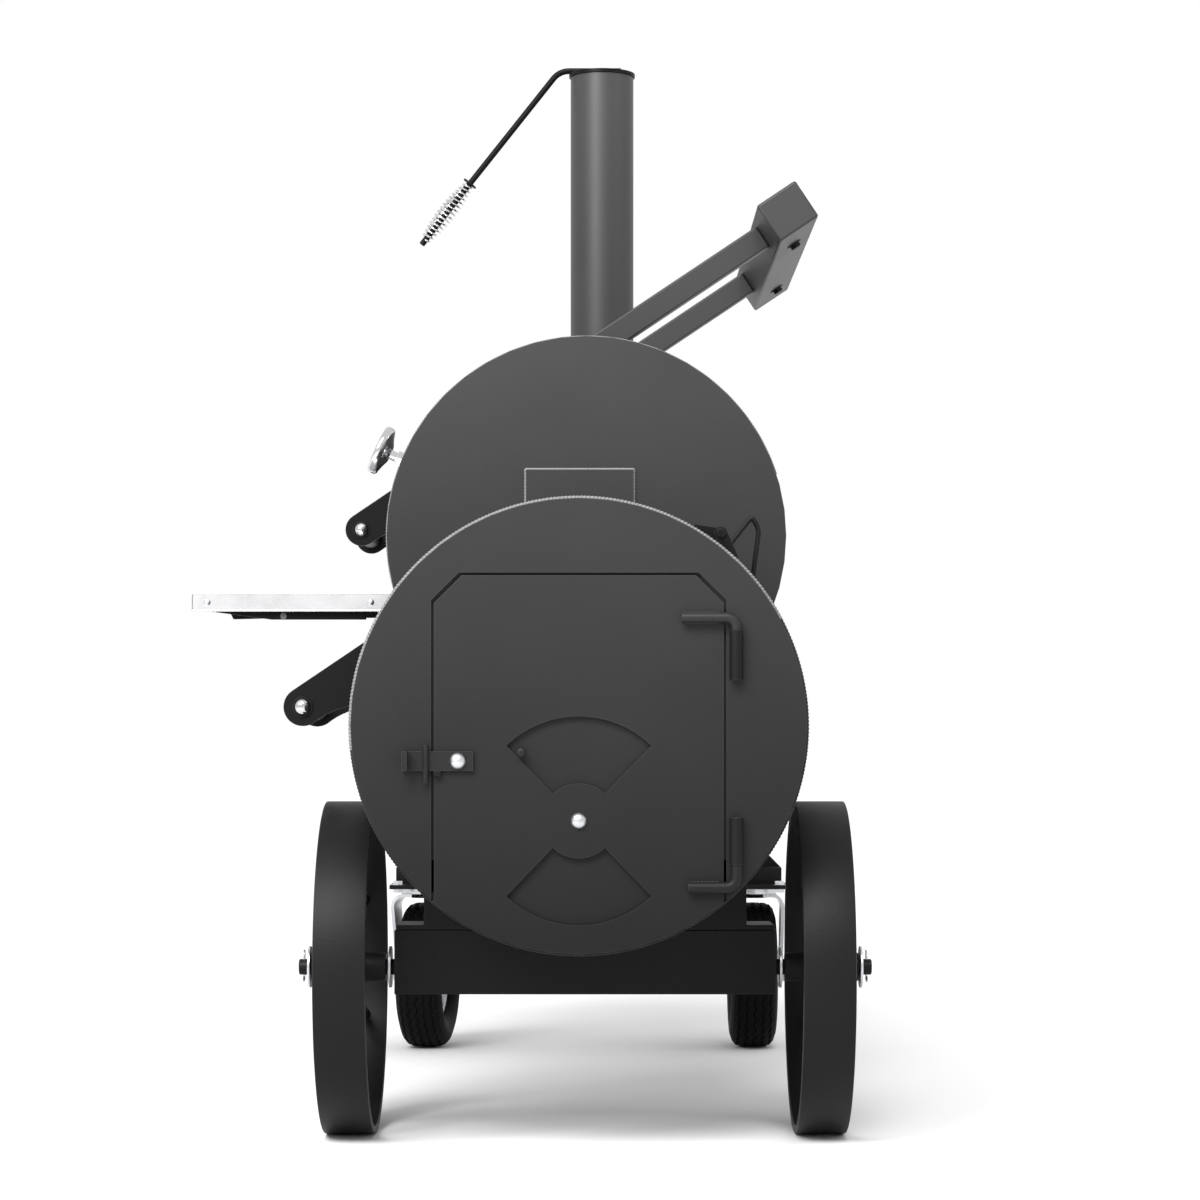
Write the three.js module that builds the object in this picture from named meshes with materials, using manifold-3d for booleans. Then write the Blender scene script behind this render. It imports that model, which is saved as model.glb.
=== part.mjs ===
// Offset barbecue smoker on two steel wheels and two casters.
// Millimetres, +Z up. The model is laid out in a working frame: X = 0 on the cook chamber's centre
// line, Y = 0 on the front face of the firebox, Z = 0 on the ground. The last lines move the whole
// group so that its box is centred on X = 0 and Y = 0.
import * as THREE from 'three';
import { mergeVertices } from 'three/addons/utils/BufferGeometryUtils.js';
import Module from 'manifold-3d';

const wasm = await Module();
wasm.setup();

// ---------------------------------------------------------------- driving dimensions
const GAP = 0.3;
const DRUM = { radius: 254, wall: 6, plateRadius: 255.5, plate: 6, facets: 24 };
const FIREBOX = { x: -6, z: 485, length: 508 };
const CHAMBER = { x: 0, z: 730, length: 914 };
const LID = { margin: 24, clearance: 2, frontAngle: 178, hingeRadius: 270, seat: 12 };
const FIREBOX_LID = { hingeAngle: 53.7, hinges: [52, 430], handles: [160, 348] };
const CHAMBER_LID = { hingeAngle: 62, hinges: [900, 1300], handles: [871, 1059] };
const HANDLE = { reach: 323.5, rise: 23, radius: 22.5, slope: 34, plate: 8, grip: 15 };
const DOOR = { halfWidth: 162, top: 168.7, chamfer: 31, gap: 3, stop: 5, hingeX: 176, hingeY: -7.8 };
const DAMPER = { drop: 106, outer: 117, inner: 42, halfAngle: 44, blade: 3, knobRadius: 100, knobAngle: 130 };
const LATCH = { x: -135.2, z: -39, height: 22, left: -186, right: -118 };
const THROAT = { inset: 26 };
const TIE = { left: -77, right: 60, top: 814 };
const ARM = { height: 32, depth: 25, slope: 33.7, starts: 241.5, ys: [749, 1181] };
const WEIGHT = { x: 264, z: 434, along: 61, across: 56.5, from: 622, to: 1308 };
const THERMOMETER = { y: 737, angle: 155, dial: 33, face: 305.5 };
const STACK = { x: 20, y: 1515, radius: 50, wall: 4, top: 1523 };
const ELBOW = { halfWidth: 65, depth: 150, bottom: 640, top: 860, wall: 5 };
const CAP = { radius: 52.5, thickness: 5, pivot: [41, 41], rod: 4.75 };
const SHELF = {
  outer: -515, inner: -250, from: 584, to: 904, top: 661,
  height: 25, lip: 12, sheet: 2, hingeX: -262, hingeZ: 650,
};
const WHEEL = { radius: 198, inner: 249, outer: 309, tread: 9, y: 246, hub: 17, spokes: 8 };
const AXLE = { radius: 9.5, end: 342, washer: 25 };
const BEAM = { halfLength: 226, bottom: 168, side: 76, wall: 5 };
const SADDLE = { halfWidth: 191, plate: 8, flange: 6, foot: 224, top: 318 };
const STAND = { y: 1270, halfWidth: 291, bottom: 249, height: 26, depth: 50, plate: 8 };
const CASTER = { x: 249, radius: 110, width: 72, trail: 30, plateTop: 249, plate: 5, turn: [-7, 0] };

// ---------------------------------------------------------------- finishes
const blackPaint = new THREE.MeshStandardMaterial({ color: 0x2f2f31, roughness: 0.55, metalness: 0.2 });
const bareSteel = new THREE.MeshStandardMaterial({ color: 0x55555a, roughness: 0.5, metalness: 0.8 });
const stainless = new THREE.MeshStandardMaterial({ color: 0xd4d5d6, roughness: 0.3, metalness: 1 });
const chrome = new THREE.MeshStandardMaterial({ color: 0xe4e4e6, roughness: 0.15, metalness: 1 });
const zinc = new THREE.MeshStandardMaterial({ color: 0xb9bcc0, roughness: 0.35, metalness: 1 });
const rubber = new THREE.MeshStandardMaterial({ color: 0x1b1b1c, roughness: 0.85, metalness: 0 });

// ---------------------------------------------------------------- shape helpers
const smoker = new THREE.Group();
const rad = THREE.MathUtils.degToRad;
const alongX = new THREE.Vector3(1, 0, 0);
const alongY = new THREE.Vector3(0, 1, 0);
const alongZ = new THREE.Vector3(0, 0, 1);
// An outline drawn in (Y, Z) runs along X, one in (X, Z) along Y, one in (X, Y) along Z.
const frames = {
  X: new THREE.Matrix4().makeBasis(alongY, alongZ, alongX),
  Y: new THREE.Matrix4().makeBasis(alongX, alongZ, alongY.clone().negate()),
  Z: new THREE.Matrix4(),
};

function toSolid(geometry) {
  geometry.deleteAttribute('normal');
  geometry.deleteAttribute('uv');
  const merged = mergeVertices(geometry, 1e-3);
  return new wasm.Manifold(new wasm.Mesh({
    numProp: 3,
    vertProperties: new Float32Array(merged.attributes.position.array),
    triVerts: new Uint32Array(merged.index.array),
  }));
}

function joined(...solids) {
  return solids.reduce((whole, piece) => whole.add(piece));
}

function addPiece(name, solid, material, parent = smoker) {
  const { vertProperties, triVerts } = solid.getMesh();
  const geometry = new THREE.BufferGeometry();
  geometry.setAttribute('position', new THREE.BufferAttribute(new Float32Array(vertProperties), 3));
  geometry.setIndex(new THREE.BufferAttribute(new Uint32Array(triVerts), 1));
  geometry.computeVertexNormals();
  const mesh = new THREE.Mesh(geometry, material);
  mesh.name = name;
  parent.add(mesh);
}

// facets is half the number of sides of a full circle.
function prism(shape, axis, from, to, facets = 12) {
  const options = { depth: to - from, bevelEnabled: false, curveSegments: facets };
  const geometry = new THREE.ExtrudeGeometry(shape, options);
  geometry.translate(0, 0, axis === 'Y' ? -to : from);
  geometry.applyMatrix4(frames[axis]);
  return toSolid(geometry);
}

function polygon(points) {
  return new THREE.Shape(points.map(([u, v]) => new THREE.Vector2(u, v)));
}

// A straight strip between two points, halfWidth to each side of the line.
function strip([u0, v0], [u1, v1], halfWidth) {
  const length = Math.hypot(u1 - u0, v1 - v0);
  const [nu, nv] = [(-halfWidth * (v1 - v0)) / length, (halfWidth * (u1 - u0)) / length];
  return polygon([[u0 - nu, v0 - nv], [u1 - nu, v1 - nv], [u1 + nu, v1 + nv], [u0 + nu, v0 + nv]]);
}

function disc(u, v, radius, start = 0) {
  const shape = new THREE.Shape();
  shape.absarc(u, v, radius, start, start + 2 * Math.PI, false);
  return shape;
}

function box(x0, x1, y0, y1, z0, z1) {
  return prism(polygon([[x0, y0], [x1, y0], [x1, y1], [x0, y1]]), 'Z', z0, z1);
}

function rod(axis, u, v, radius, from, to, facets = 8) {
  return prism(disc(u, v, radius), axis, from, to, facets);
}

function pipe(axis, u, v, outer, inner, from, to, facets = 12) {
  const hollow = rod(axis, u, v, inner, from - 1, to + 1, facets);
  return rod(axis, u, v, outer, from, to, facets).subtract(hollow);
}

// A wedge of a circle about (u, v) between two angles in degrees, out to radius.
function wedge(u, v, radius, fromAngle, toAngle) {
  const shape = new THREE.Shape();
  shape.moveTo(u, v);
  shape.absarc(u, v, radius, rad(fromAngle), rad(toAngle), false);
  shape.lineTo(u, v);
  return shape;
}

// A curved plate: the part of a pipe along Y between two angles.
function arcPlate(drum, outer, inner, fromAngle, toAngle, y0, y1) {
  const slice = prism(wedge(drum.x, drum.z, outer * 1.5, fromAngle, toAngle), 'Y', y0, y1, 8);
  return pipe('Y', drum.x, drum.z, outer, inner, y0, y1, DRUM.facets).intersect(slice);
}

function drumBody(drum, extra = GAP) {
  return rod('Y', drum.x, drum.z, DRUM.radius + extra, -10, 2000, DRUM.facets);
}

// The point at a radius and an angle about a drum's centre line.
function onDrum(drum, radius, angle) {
  return [drum.x + radius * Math.cos(rad(angle)), drum.z + radius * Math.sin(rad(angle))];
}

// A round bar that follows straight runs with rounded bends.
function bentBar(points, radius, bend, steps = 26) {
  const corners = points.map((p) => new THREE.Vector3(...p));
  const path = new THREE.CurvePath();
  let start = corners[0];
  for (let i = 1; i < corners.length - 1; i += 1) {
    const before = corners[i].clone().lerp(corners[i - 1], bend / corners[i].distanceTo(corners[i - 1]));
    const after = corners[i].clone().lerp(corners[i + 1], bend / corners[i].distanceTo(corners[i + 1]));
    path.add(new THREE.LineCurve3(start, before));
    path.add(new THREE.QuadraticBezierCurve3(before, corners[i], after));
    start = after;
  }
  path.add(new THREE.LineCurve3(start, corners[corners.length - 1]));
  const options = { steps, extrudePath: path, bevelEnabled: false, curveSegments: 5 };
  return toSolid(new THREE.ExtrudeGeometry(disc(0, 0, radius), options));
}

// A turned piece: the profile [radius, height] goes round Z, then is laid along a direction.
function turned(profile, direction, origin, sides = 12) {
  const points = profile.map(([r, h]) => new THREE.Vector2(r, h));
  const geometry = new THREE.LatheGeometry(points, sides);
  const turn = new THREE.Quaternion().setFromUnitVectors(alongY, direction.clone().normalize());
  geometry.applyQuaternion(turn);
  geometry.translate(...origin);
  return toSolid(geometry);
}

// ---------------------------------------------------------------- drums
function lidOpening(drum, hingeAngle, y0, y1) {
  const ends = [hingeAngle - 0.4, LID.frontAngle + 0.5];
  return prism(wedge(drum.x, drum.z, 400, ...ends), 'Y', y0 + LID.margin, y1 - LID.margin, 8);
}

// A strip inside the drum that the closed lid sits on, all round the opening.
function lidSeat(drum, hingeAngle, y0, y1) {
  const span = rad(1) * DRUM.radius;
  const overlap = LID.seat / span;
  const inner = DRUM.radius - DRUM.wall;
  const ends = [hingeAngle - overlap - 2, LID.frontAngle + overlap + 2];
  const outside = arcPlate(drum, inner + 0.2, inner - 4, ...ends, y0 + 8, y1 - 8);
  const window = wedge(drum.x, drum.z, 400, hingeAngle + overlap, LID.frontAngle - overlap);
  const hole = prism(window, 'Y', y0 + LID.margin + LID.seat, y1 - LID.margin - LID.seat, 8);
  return outside.subtract(hole);
}

function lidShell(drum, hingeAngle, y0, y1) {
  const edge = LID.margin + LID.clearance;
  const inner = DRUM.radius - DRUM.wall + 0.5;
  return arcPlate(drum, DRUM.radius, inner, hingeAngle + 0.3, LID.frontAngle, y0 + edge, y1 - edge);
}

function doorOutline(grow) {
  const side = DOOR.halfWidth + grow;
  const top = DOOR.top + grow;
  const shape = polygon([
    [FIREBOX.x - side, FIREBOX.z - 300],
    [FIREBOX.x + side, FIREBOX.z - 300],
    [FIREBOX.x + side, FIREBOX.z + top - DOOR.chamfer],
    [FIREBOX.x + side - DOOR.chamfer, FIREBOX.z + top],
    [FIREBOX.x - side + DOOR.chamfer, FIREBOX.z + top],
    [FIREBOX.x - side, FIREBOX.z + top - DOOR.chamfer],
  ]);
  return shape;
}

// The strip behind the face plate that the closed door rests on, up both sides and across the top.
function doorStopOutline() {
  const band = (grow) => {
    const side = DOOR.halfWidth + grow;
    const top = DOOR.top + grow;
    return [[side, -150], [side, top - DOOR.chamfer], [side - DOOR.chamfer, top]];
  };
  const right = ([u, v]) => [FIREBOX.x + u, FIREBOX.z + v];
  const left = ([u, v]) => [FIREBOX.x - u, FIREBOX.z + v];
  const outer = band(16);
  const inner = band(-9);
  return polygon([
    ...outer.map(right), ...outer.map(left).reverse(),
    ...inner.map(left), ...inner.map(right).reverse(),
  ]);
}

// The half-moon through which fire and smoke pass from the firebox into the chamber.
function throatCut() {
  const radius = DRUM.radius - DRUM.wall - THROAT.inset;
  const low = rod('Y', FIREBOX.x, FIREBOX.z, radius, FIREBOX.length - 12, FIREBOX.length + 12, 24);
  const high = rod('Y', CHAMBER.x, CHAMBER.z, radius, FIREBOX.length - 12, FIREBOX.length + 12, 24);
  return low.intersect(high);
}

const innerRadius = DRUM.radius - DRUM.wall;
const chamberStart = FIREBOX.length + GAP;
const chamberEnd = FIREBOX.length + CHAMBER.length;
const fireGrateZ = FIREBOX.z - 124;
const cookGrateZ = CHAMBER.z - 20;

function addFireboxShell() {
  const { x, z, length } = FIREBOX;
  const skin = pipe('Y', x, z, DRUM.radius, innerRadius, DRUM.plate, length, DRUM.facets)
    .subtract(lidOpening(FIREBOX, FIREBOX_LID.hingeAngle, 0, length));
  const face = rod('Y', x, z, DRUM.plateRadius, 0, DRUM.plate, DRUM.facets)
    .subtract(prism(doorOutline(DOOR.gap), 'Y', -1, DRUM.plate + 1));
  const back = rod('Y', x, z, innerRadius + 1, length - DRUM.plate, length, DRUM.facets);
  const stop = prism(doorStopOutline(), 'Y', DRUM.plate, DRUM.plate + DOOR.stop)
    .subtract(prism(doorOutline(DOOR.gap), 'Y', DRUM.plate - 1, DRUM.plate + 0.6));
  const ledges = [-1, 1].map((side) => {
    const reach = [side * 196, side * 219].sort((a, b) => a - b);
    const [from, to] = [DRUM.plate + 20, length - DRUM.plate - 2];
    return box(x + reach[0], x + reach[1], from, to, fireGrateZ - 6, fireGrateZ);
  });
  const seat = lidSeat(FIREBOX, FIREBOX_LID.hingeAngle, 0, length);
  const shell = joined(skin, face, back, stop, seat, ...ledges).subtract(throatCut());
  addPiece('firebox_shell', shell, blackPaint);
}

function addChamberShell() {
  const { x, z } = CHAMBER;
  const skin = pipe('Y', x, z, DRUM.radius, innerRadius, chamberStart, chamberEnd, DRUM.facets)
    .subtract(lidOpening(CHAMBER, CHAMBER_LID.hingeAngle, FIREBOX.length, chamberEnd));
  const near = rod('Y', x, z, DRUM.plateRadius, chamberStart, chamberStart + DRUM.plate, DRUM.facets);
  const far = rod('Y', x, z, DRUM.plateRadius, chamberEnd - DRUM.plate, chamberEnd, DRUM.facets);
  const rails = [-1, 1].map((side) => {
    const reach = [side * 216, side * 248.5].sort((a, b) => a - b);
    return box(x + reach[0], x + reach[1], chamberStart + 4, chamberEnd - 4, cookGrateZ - 6, cookGrateZ);
  });
  const seat = lidSeat(CHAMBER, CHAMBER_LID.hingeAngle, FIREBOX.length, chamberEnd);
  const outlet = box(
    STACK.x - 45, STACK.x + 45, chamberEnd - 12, chamberEnd + 5, ELBOW.bottom + 22, ELBOW.top - 22,
  );
  const drainHole = rod('Z', x, STAND.y + 75, 12, z - 270, z - 230);
  const shell = joined(skin, near, far, seat, ...rails);
  const opened = shell.subtract(throatCut()).subtract(outlet).subtract(drainHole);
  addPiece('cook_chamber_shell', opened, blackPaint);
}

// A plate that ties the top of the firebox to the chamber's end wall.
function addTiePlate() {
  const plate = box(TIE.left, TIE.right, FIREBOX.length - 6, FIREBOX.length, FIREBOX.z + 240, TIE.top);
  addPiece('firebox_tie_plate', plate.subtract(drumBody(FIREBOX)), blackPaint);
}

// ---------------------------------------------------------------- inside the drums
function grate(halfWidth, y0, y1, z, bar, pitch) {
  const count = Math.floor((2 * halfWidth) / pitch);
  const bars = [];
  for (let i = 0; i <= count; i += 1) {
    const x = -halfWidth + (2 * halfWidth * i) / count;
    bars.push(box(x - bar / 2, x + bar / 2, y0, y1, z + bar - 1, z + 2 * bar));
  }
  const rails = [y0, (y0 + y1 - bar) / 2, y1 - bar].map((y) => (
    box(-halfWidth - bar / 2, halfWidth + bar / 2, y, y + bar, z, z + bar)
  ));
  return joined(...rails, ...bars);
}

function addInsides() {
  const middle = FIREBOX.length + CHAMBER.length / 2;
  const z = cookGrateZ + GAP;
  addPiece('cooking_grate_front', grate(224, chamberStart + 20, middle - 2, z, 6, 60), bareSteel);
  addPiece('cooking_grate_rear', grate(224, middle + 2, chamberEnd - 20, z, 6, 60), bareSteel);
  const fire = grate(200, 34, FIREBOX.length - 16, fireGrateZ + GAP, 12, 50).translate([FIREBOX.x, 0, 0]);
  addPiece('fire_grate', fire, bareSteel);
  const y = chamberStart + DRUM.plate + GAP;
  const slope = polygon([[y, 672], [y + 290, 622], [y + 290, 626], [y, 676]]);
  addPiece('heat_deflector', prism(slope, 'X', -198, 198), bareSteel);
  const drain = pipe('Z', CHAMBER.x, STAND.y + 75, 17, 12.5, CHAMBER.z - 305, CHAMBER.z - 240)
    .subtract(drumBody(CHAMBER));
  addPiece('grease_drain', drain, blackPaint);
}

// ---------------------------------------------------------------- lids, hinges and handles
// Hinge shapes are drawn as [t, u] about the hinge axis: t round the drum away from the lid, u outwards.
function hingeShape(drum, angle, points) {
  const [hx, hz] = onDrum(drum, LID.hingeRadius, angle);
  const [c, s] = [Math.cos(rad(angle)), Math.sin(rad(angle))];
  return polygon(points.map(([t, u]) => [hx + t * s + u * c, hz - t * c + u * s]));
}

function addHinge(prefix, drum, angle, y, end) {
  const [hx, hz] = onDrum(drum, LID.hingeRadius, angle);
  const ear = hingeShape(drum, angle, [
    [-7, 2], [0, 8], [8, 4], [32, -10], [34, -26], [4, -24], [2.5, -12], [-7, -5],
  ]);
  const base = hingeShape(drum, angle, [[11, -11], [34, -14], [34, -26], [11, -24]]);
  const lug = joined(
    prism(ear, 'Y', y - 26, y - 19),
    prism(ear, 'Y', y + 19, y + 26),
    prism(base, 'Y', y - 26, y + 26),
    rod('Y', hx, hz, 4.6, y - 30, y + 30, 8),
  ).subtract(drumBody(drum));
  addPiece(`${prefix}_hinge_lug_${end}`, lug, blackPaint);
  const link = hingeShape(drum, angle, [[2, 2], [-7, 3], [-30, -9], [-30, -16], [-4, -17], [-1, -13]]);
  const strap = joined(
    rod('Y', hx, hz, 8, y - 18, y + 18, 10),
    prism(link, 'Y', y - 18, y + 18),
    arcPlate(drum, DRUM.radius + 7, DRUM.radius + GAP, angle + 1, angle + 16, y - 18, y + 18),
  ).subtract(drumBody(drum)).subtract(rod('Y', hx, hz, 5.1, y - 20, y + 20, 8));
  addPiece(`${prefix}_hinge_strap_${end}`, strap, blackPaint);
}

function addHandle(prefix, drum, offset, ys) {
  const cx = drum.x - HANDLE.reach + offset.x;
  const cz = drum.z + HANDLE.rise + offset.z;
  const outline = new THREE.Shape();
  const slope = rad(HANDLE.slope);
  const length = 120;
  const tangent = rad(HANDLE.slope + 90);
  const top = [cx + HANDLE.radius * Math.cos(tangent), cz + HANDLE.radius * Math.sin(tangent)];
  outline.moveTo(top[0] + length * Math.cos(slope), top[1] + length * Math.sin(slope));
  outline.lineTo(...top);
  outline.absarc(cx, cz, HANDLE.radius, tangent, rad(305), false);
  outline.quadraticCurveTo(cx + 34, cz - 1, cx + 72, cz + 4);
  outline.lineTo(cx + 100, cz + 10);
  ['front', 'rear'].forEach((end, i) => {
    const y = ys[i];
    const plate = prism(outline, 'Y', y - HANDLE.plate / 2, y + HANDLE.plate / 2, 8)
      .subtract(drumBody(drum))
      .subtract(rod('Y', cx, cz, 6.5, y - 20, y + 20));
    addPiece(`${prefix}_handle_bracket_${end}`, plate, blackPaint);
  });
  const half = HANDLE.plate / 2 + GAP;
  const head = [[0, 0], [11, 0], [11, 1.6], [8.6, 1.8], [7, 4.8], [3.5, 6.6], [0, 7.2]];
  const grip = joined(
    rod('Y', cx, cz, 6, ys[0] - half - 1, ys[1] + half + 1, 6),
    rod('Y', cx, cz, HANDLE.grip, ys[0] + half, ys[1] - half, 8),
    turned(head, alongY.clone().negate(), [cx, ys[0] - half, cz]),
    turned(head, alongY, [cx, ys[1] + half, cz]),
  );
  addPiece(`${prefix}_handle_grip`, grip, blackPaint);
}

// Both arms leave the lid together and end at the weight, a solid bar set square to them.
function addCounterweight() {
  const direction = rad(ARM.slope);
  const [dx, dz] = [Math.cos(direction), Math.sin(direction)];
  const startZ = CHAMBER.z + ARM.starts;
  const [wx, wz] = [CHAMBER.x + WEIGHT.x, CHAMBER.z + WEIGHT.z];
  const along = (wx - CHAMBER.x) * dx + (wz - startZ) * dz;
  const across = -(wx - CHAMBER.x) * dz + (wz - startZ) * dx;
  const place = (u, v) => [CHAMBER.x + u * dx - v * dz, startZ + u * dz + v * dx];
  const bar = (from, to, low, high) => strip(
    place(from, (low + high) / 2), place(to, (low + high) / 2), (high - low) / 2);
  const armEnd = along - WEIGHT.along / 2 - GAP;
  ['front', 'rear'].forEach((end, i) => {
    const y = ARM.ys[i];
    const arm = prism(bar(-60, armEnd, 0, ARM.height), 'Y', y - ARM.depth / 2, y + ARM.depth / 2)
      .subtract(drumBody(CHAMBER));
    addPiece(`counterweight_arm_${end}`, arm, blackPaint);
  });
  const outline = bar(along - WEIGHT.along / 2, along + WEIGHT.along / 2,
    across - WEIGHT.across / 2, across + WEIGHT.across / 2);
  addPiece('counterweight_bar', prism(outline, 'Y', WEIGHT.from, WEIGHT.to), blackPaint);
}

function addThermometer(lid) {
  const out = new THREE.Vector3(Math.cos(rad(THERMOMETER.angle)), 0, Math.sin(rad(THERMOMETER.angle)));
  const centre = [CHAMBER.x, THERMOMETER.y, CHAMBER.z];
  const { dial: radius, face } = THERMOMETER;
  const inside = DRUM.radius - 10;
  const top = face - 33;
  const hole = turned([[0, 100], [7, 100], [7, 400], [0, 400]], out, centre, 12);
  const barrel = turned([[0, inside], [12.5, inside], [12.5, top], [0, top]], out, centre, 12);
  addPiece('thermometer_coupling', barrel.subtract(drumBody(CHAMBER)).subtract(hole), zinc);
  const dial = turned([
    [0, DRUM.radius - 100], [3.2, DRUM.radius - 100], [3.2, top + 1], [9.5, top + 1], [9.5, top + 10],
    [8, top + 13], [8, face - 12], [18, face - 8], [30, face - 5], [radius, face - 2], [radius + 1, face + 4],
    [radius - 3, face + 7], [radius - 5, face + 5], [0, face + 5],
  ], out, centre, 20);
  addPiece('thermometer_dial', dial, chrome);
  return lid.subtract(hole);
}

// The bent round bar that the open firebox lid leans back on.
function addLidStop() {
  const y = 108;
  const rel = (dx, dz) => [FIREBOX.x + dx, y, FIREBOX.z + dz];
  const bar = bentBar([rel(158, 190), rel(199, 242), rel(207, 227), rel(198, 155)], 3.2, 6.5, 20);
  addPiece('firebox_lid_stop', bar.subtract(drumBody(FIREBOX)), blackPaint);
}

function addLids() {
  addPiece('firebox_lid', lidShell(FIREBOX, FIREBOX_LID.hingeAngle, 0, FIREBOX.length), blackPaint);
  const lid = lidShell(CHAMBER, CHAMBER_LID.hingeAngle, FIREBOX.length, chamberEnd);
  addPiece('chamber_lid', addThermometer(lid), blackPaint);
  ['front', 'rear'].forEach((end, i) => {
    addHinge('firebox', FIREBOX, FIREBOX_LID.hingeAngle, FIREBOX_LID.hinges[i], end);
    addHinge('chamber', CHAMBER, CHAMBER_LID.hingeAngle, CHAMBER_LID.hinges[i], end);
  });
  addHandle('firebox', FIREBOX, { x: 0, z: 0 }, FIREBOX_LID.handles);
  addHandle('chamber', CHAMBER, { x: 9, z: 8 }, CHAMBER_LID.handles);
  addCounterweight();
  addLidStop();
}

// ---------------------------------------------------------------- firebox door
function damperSector(centreAngle, outer, inner, halfAngle) {
  const [px, pz] = [FIREBOX.x, FIREBOX.z - DAMPER.drop];
  const sides = [rad(centreAngle - halfAngle), rad(centreAngle + halfAngle)];
  const shape = new THREE.Shape();
  shape.absarc(px, pz, outer, ...sides, false);
  shape.absarc(px, pz, inner, sides[1], sides[0], true);
  return shape;
}

function addDoor() {
  const { x, z } = FIREBOX;
  const pivotZ = z - DAMPER.drop;
  const slots = [90, 270].map((a) => damperSector(a, DAMPER.outer, DAMPER.inner, DAMPER.halfAngle));
  const panel = prism(doorOutline(0), 'Y', 0, DRUM.plate)
    .intersect(rod('Y', x, z, DRUM.plateRadius, 0, DRUM.plate, DRUM.facets));
  const cuts = joined(
    ...slots.map((slot) => prism(slot, 'Y', -1, DRUM.plate + 1, 8)),
    rod('Y', x, pivotZ, 6, -1, DRUM.plate + 1),
    rod('Y', x + LATCH.x, z + LATCH.z, 5.4, -1, DRUM.plate + 1),
  );
  addPiece('firebox_door', panel.subtract(cuts), blackPaint);

  const bladeY = DRUM.plate + GAP;
  const blades = [90, 270].map((a) => (
    prism(
      damperSector(a, DAMPER.outer + 6, 20, DAMPER.halfAngle + 1.5),
      'Y', bladeY, bladeY + DAMPER.blade, 7,
    )
  ));
  const [kx, kz] = [
    x + DAMPER.knobRadius * Math.cos(rad(DAMPER.knobAngle)),
    pivotZ + DAMPER.knobRadius * Math.sin(rad(DAMPER.knobAngle)),
  ];
  const knob = turned([[0, -1], [4, -1], [4, 8], [5.5, 10], [5, 14], [0, 16]],
    alongY.clone().negate(), [kx, bladeY, kz], 10);
  const hub = rod('Y', x, pivotZ, 34, bladeY, bladeY + DAMPER.blade, 14);
  const blade = joined(hub, ...blades, knob).subtract(rod('Y', x, pivotZ, 5.4, 0, 20));
  addPiece('damper_blade', blade, blackPaint);
  const boltHead = [[0, 0], [9.6, 0], [9, 3], [6, 6], [0, 7]];
  const bolt = joined(
    turned(boltHead, alongY.clone().negate(), [x, -GAP, pivotZ]),
    rod('Y', x, pivotZ, 5, -2, bladeY + 12, 8),
    rod('Y', x, pivotZ, 9, bladeY + DAMPER.blade + GAP, bladeY + 10, 3),
  );
  addPiece('damper_bolt', bolt, zinc);
}

function addDoorHinges() {
  const hx = FIREBOX.x + DOOR.hingeX;
  const z = FIREBOX.z;
  addPiece('door_barrel_upper', pipe('Z', hx, DOOR.hingeY, 7.5, 6.5, z + 51, z + 107, 10), blackPaint);
  addPiece('door_barrel_lower', pipe('Z', hx, DOOR.hingeY, 7.5, 6.5, z - 155, z - 102, 10), blackPaint);
  const pins = [
    ['door_pin_upper', [[115, 121], [176, 121], [176, 60]]],
    ['door_pin_lower', [[122, -180], [176, -180], [176, -106]]],
  ];
  pins.forEach(([name, run]) => {
    const path = run.map(([dx, dz]) => [FIREBOX.x + dx, DOOR.hingeY, z + dz]);
    const [start, height] = [run[0][0], run[0][1]];
    const weld = box(FIREBOX.x + start + 4, FIREBOX.x + DOOR.halfWidth - 4, DOOR.hingeY + 2, -GAP,
      z + height - 4, z + height + 4);
    addPiece(name, joined(bentBar(path, 6, 13, 14), weld), blackPaint);
  });
}

function addLatch() {
  const [bx, bz] = [FIREBOX.x + LATCH.x, FIREBOX.z + LATCH.z];
  const half = LATCH.height / 2;
  const [left, right] = [FIREBOX.x + LATCH.left, FIREBOX.x + LATCH.right];
  const bar = joined(
    box(left, right, -5.3, -GAP, bz - half, bz + half),
    box(left - 11, left - 5, -24, -GAP, bz - half, bz + half),
    box(left - 6, left + 2, -5.3, -GAP, bz - half, bz + half),
    rod('Z', left + 15, -8, 3.2, bz - 24, bz + 18, 6),
  ).subtract(rod('Y', bx, bz, 5.4, -20, 5));
  addPiece('latch_bar', bar, blackPaint);
  const bolt = joined(
    turned([[0, 0], [8.6, 0], [8, 3], [5.5, 5.5], [0, 6.5]], alongY.clone().negate(), [bx, -5.6, bz]),
    rod('Y', bx, bz, 5, -7, 16, 8),
    rod('Y', bx, bz, 8.5, DRUM.plate + 6 + GAP, 14, 3),
  );
  addPiece('latch_bolt', bolt, zinc);
  const rest = box(left + 24, left + 32, -7, -GAP, bz - half - 6.3, bz - half - GAP);
  addPiece('latch_rest', rest, blackPaint);
}

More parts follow.
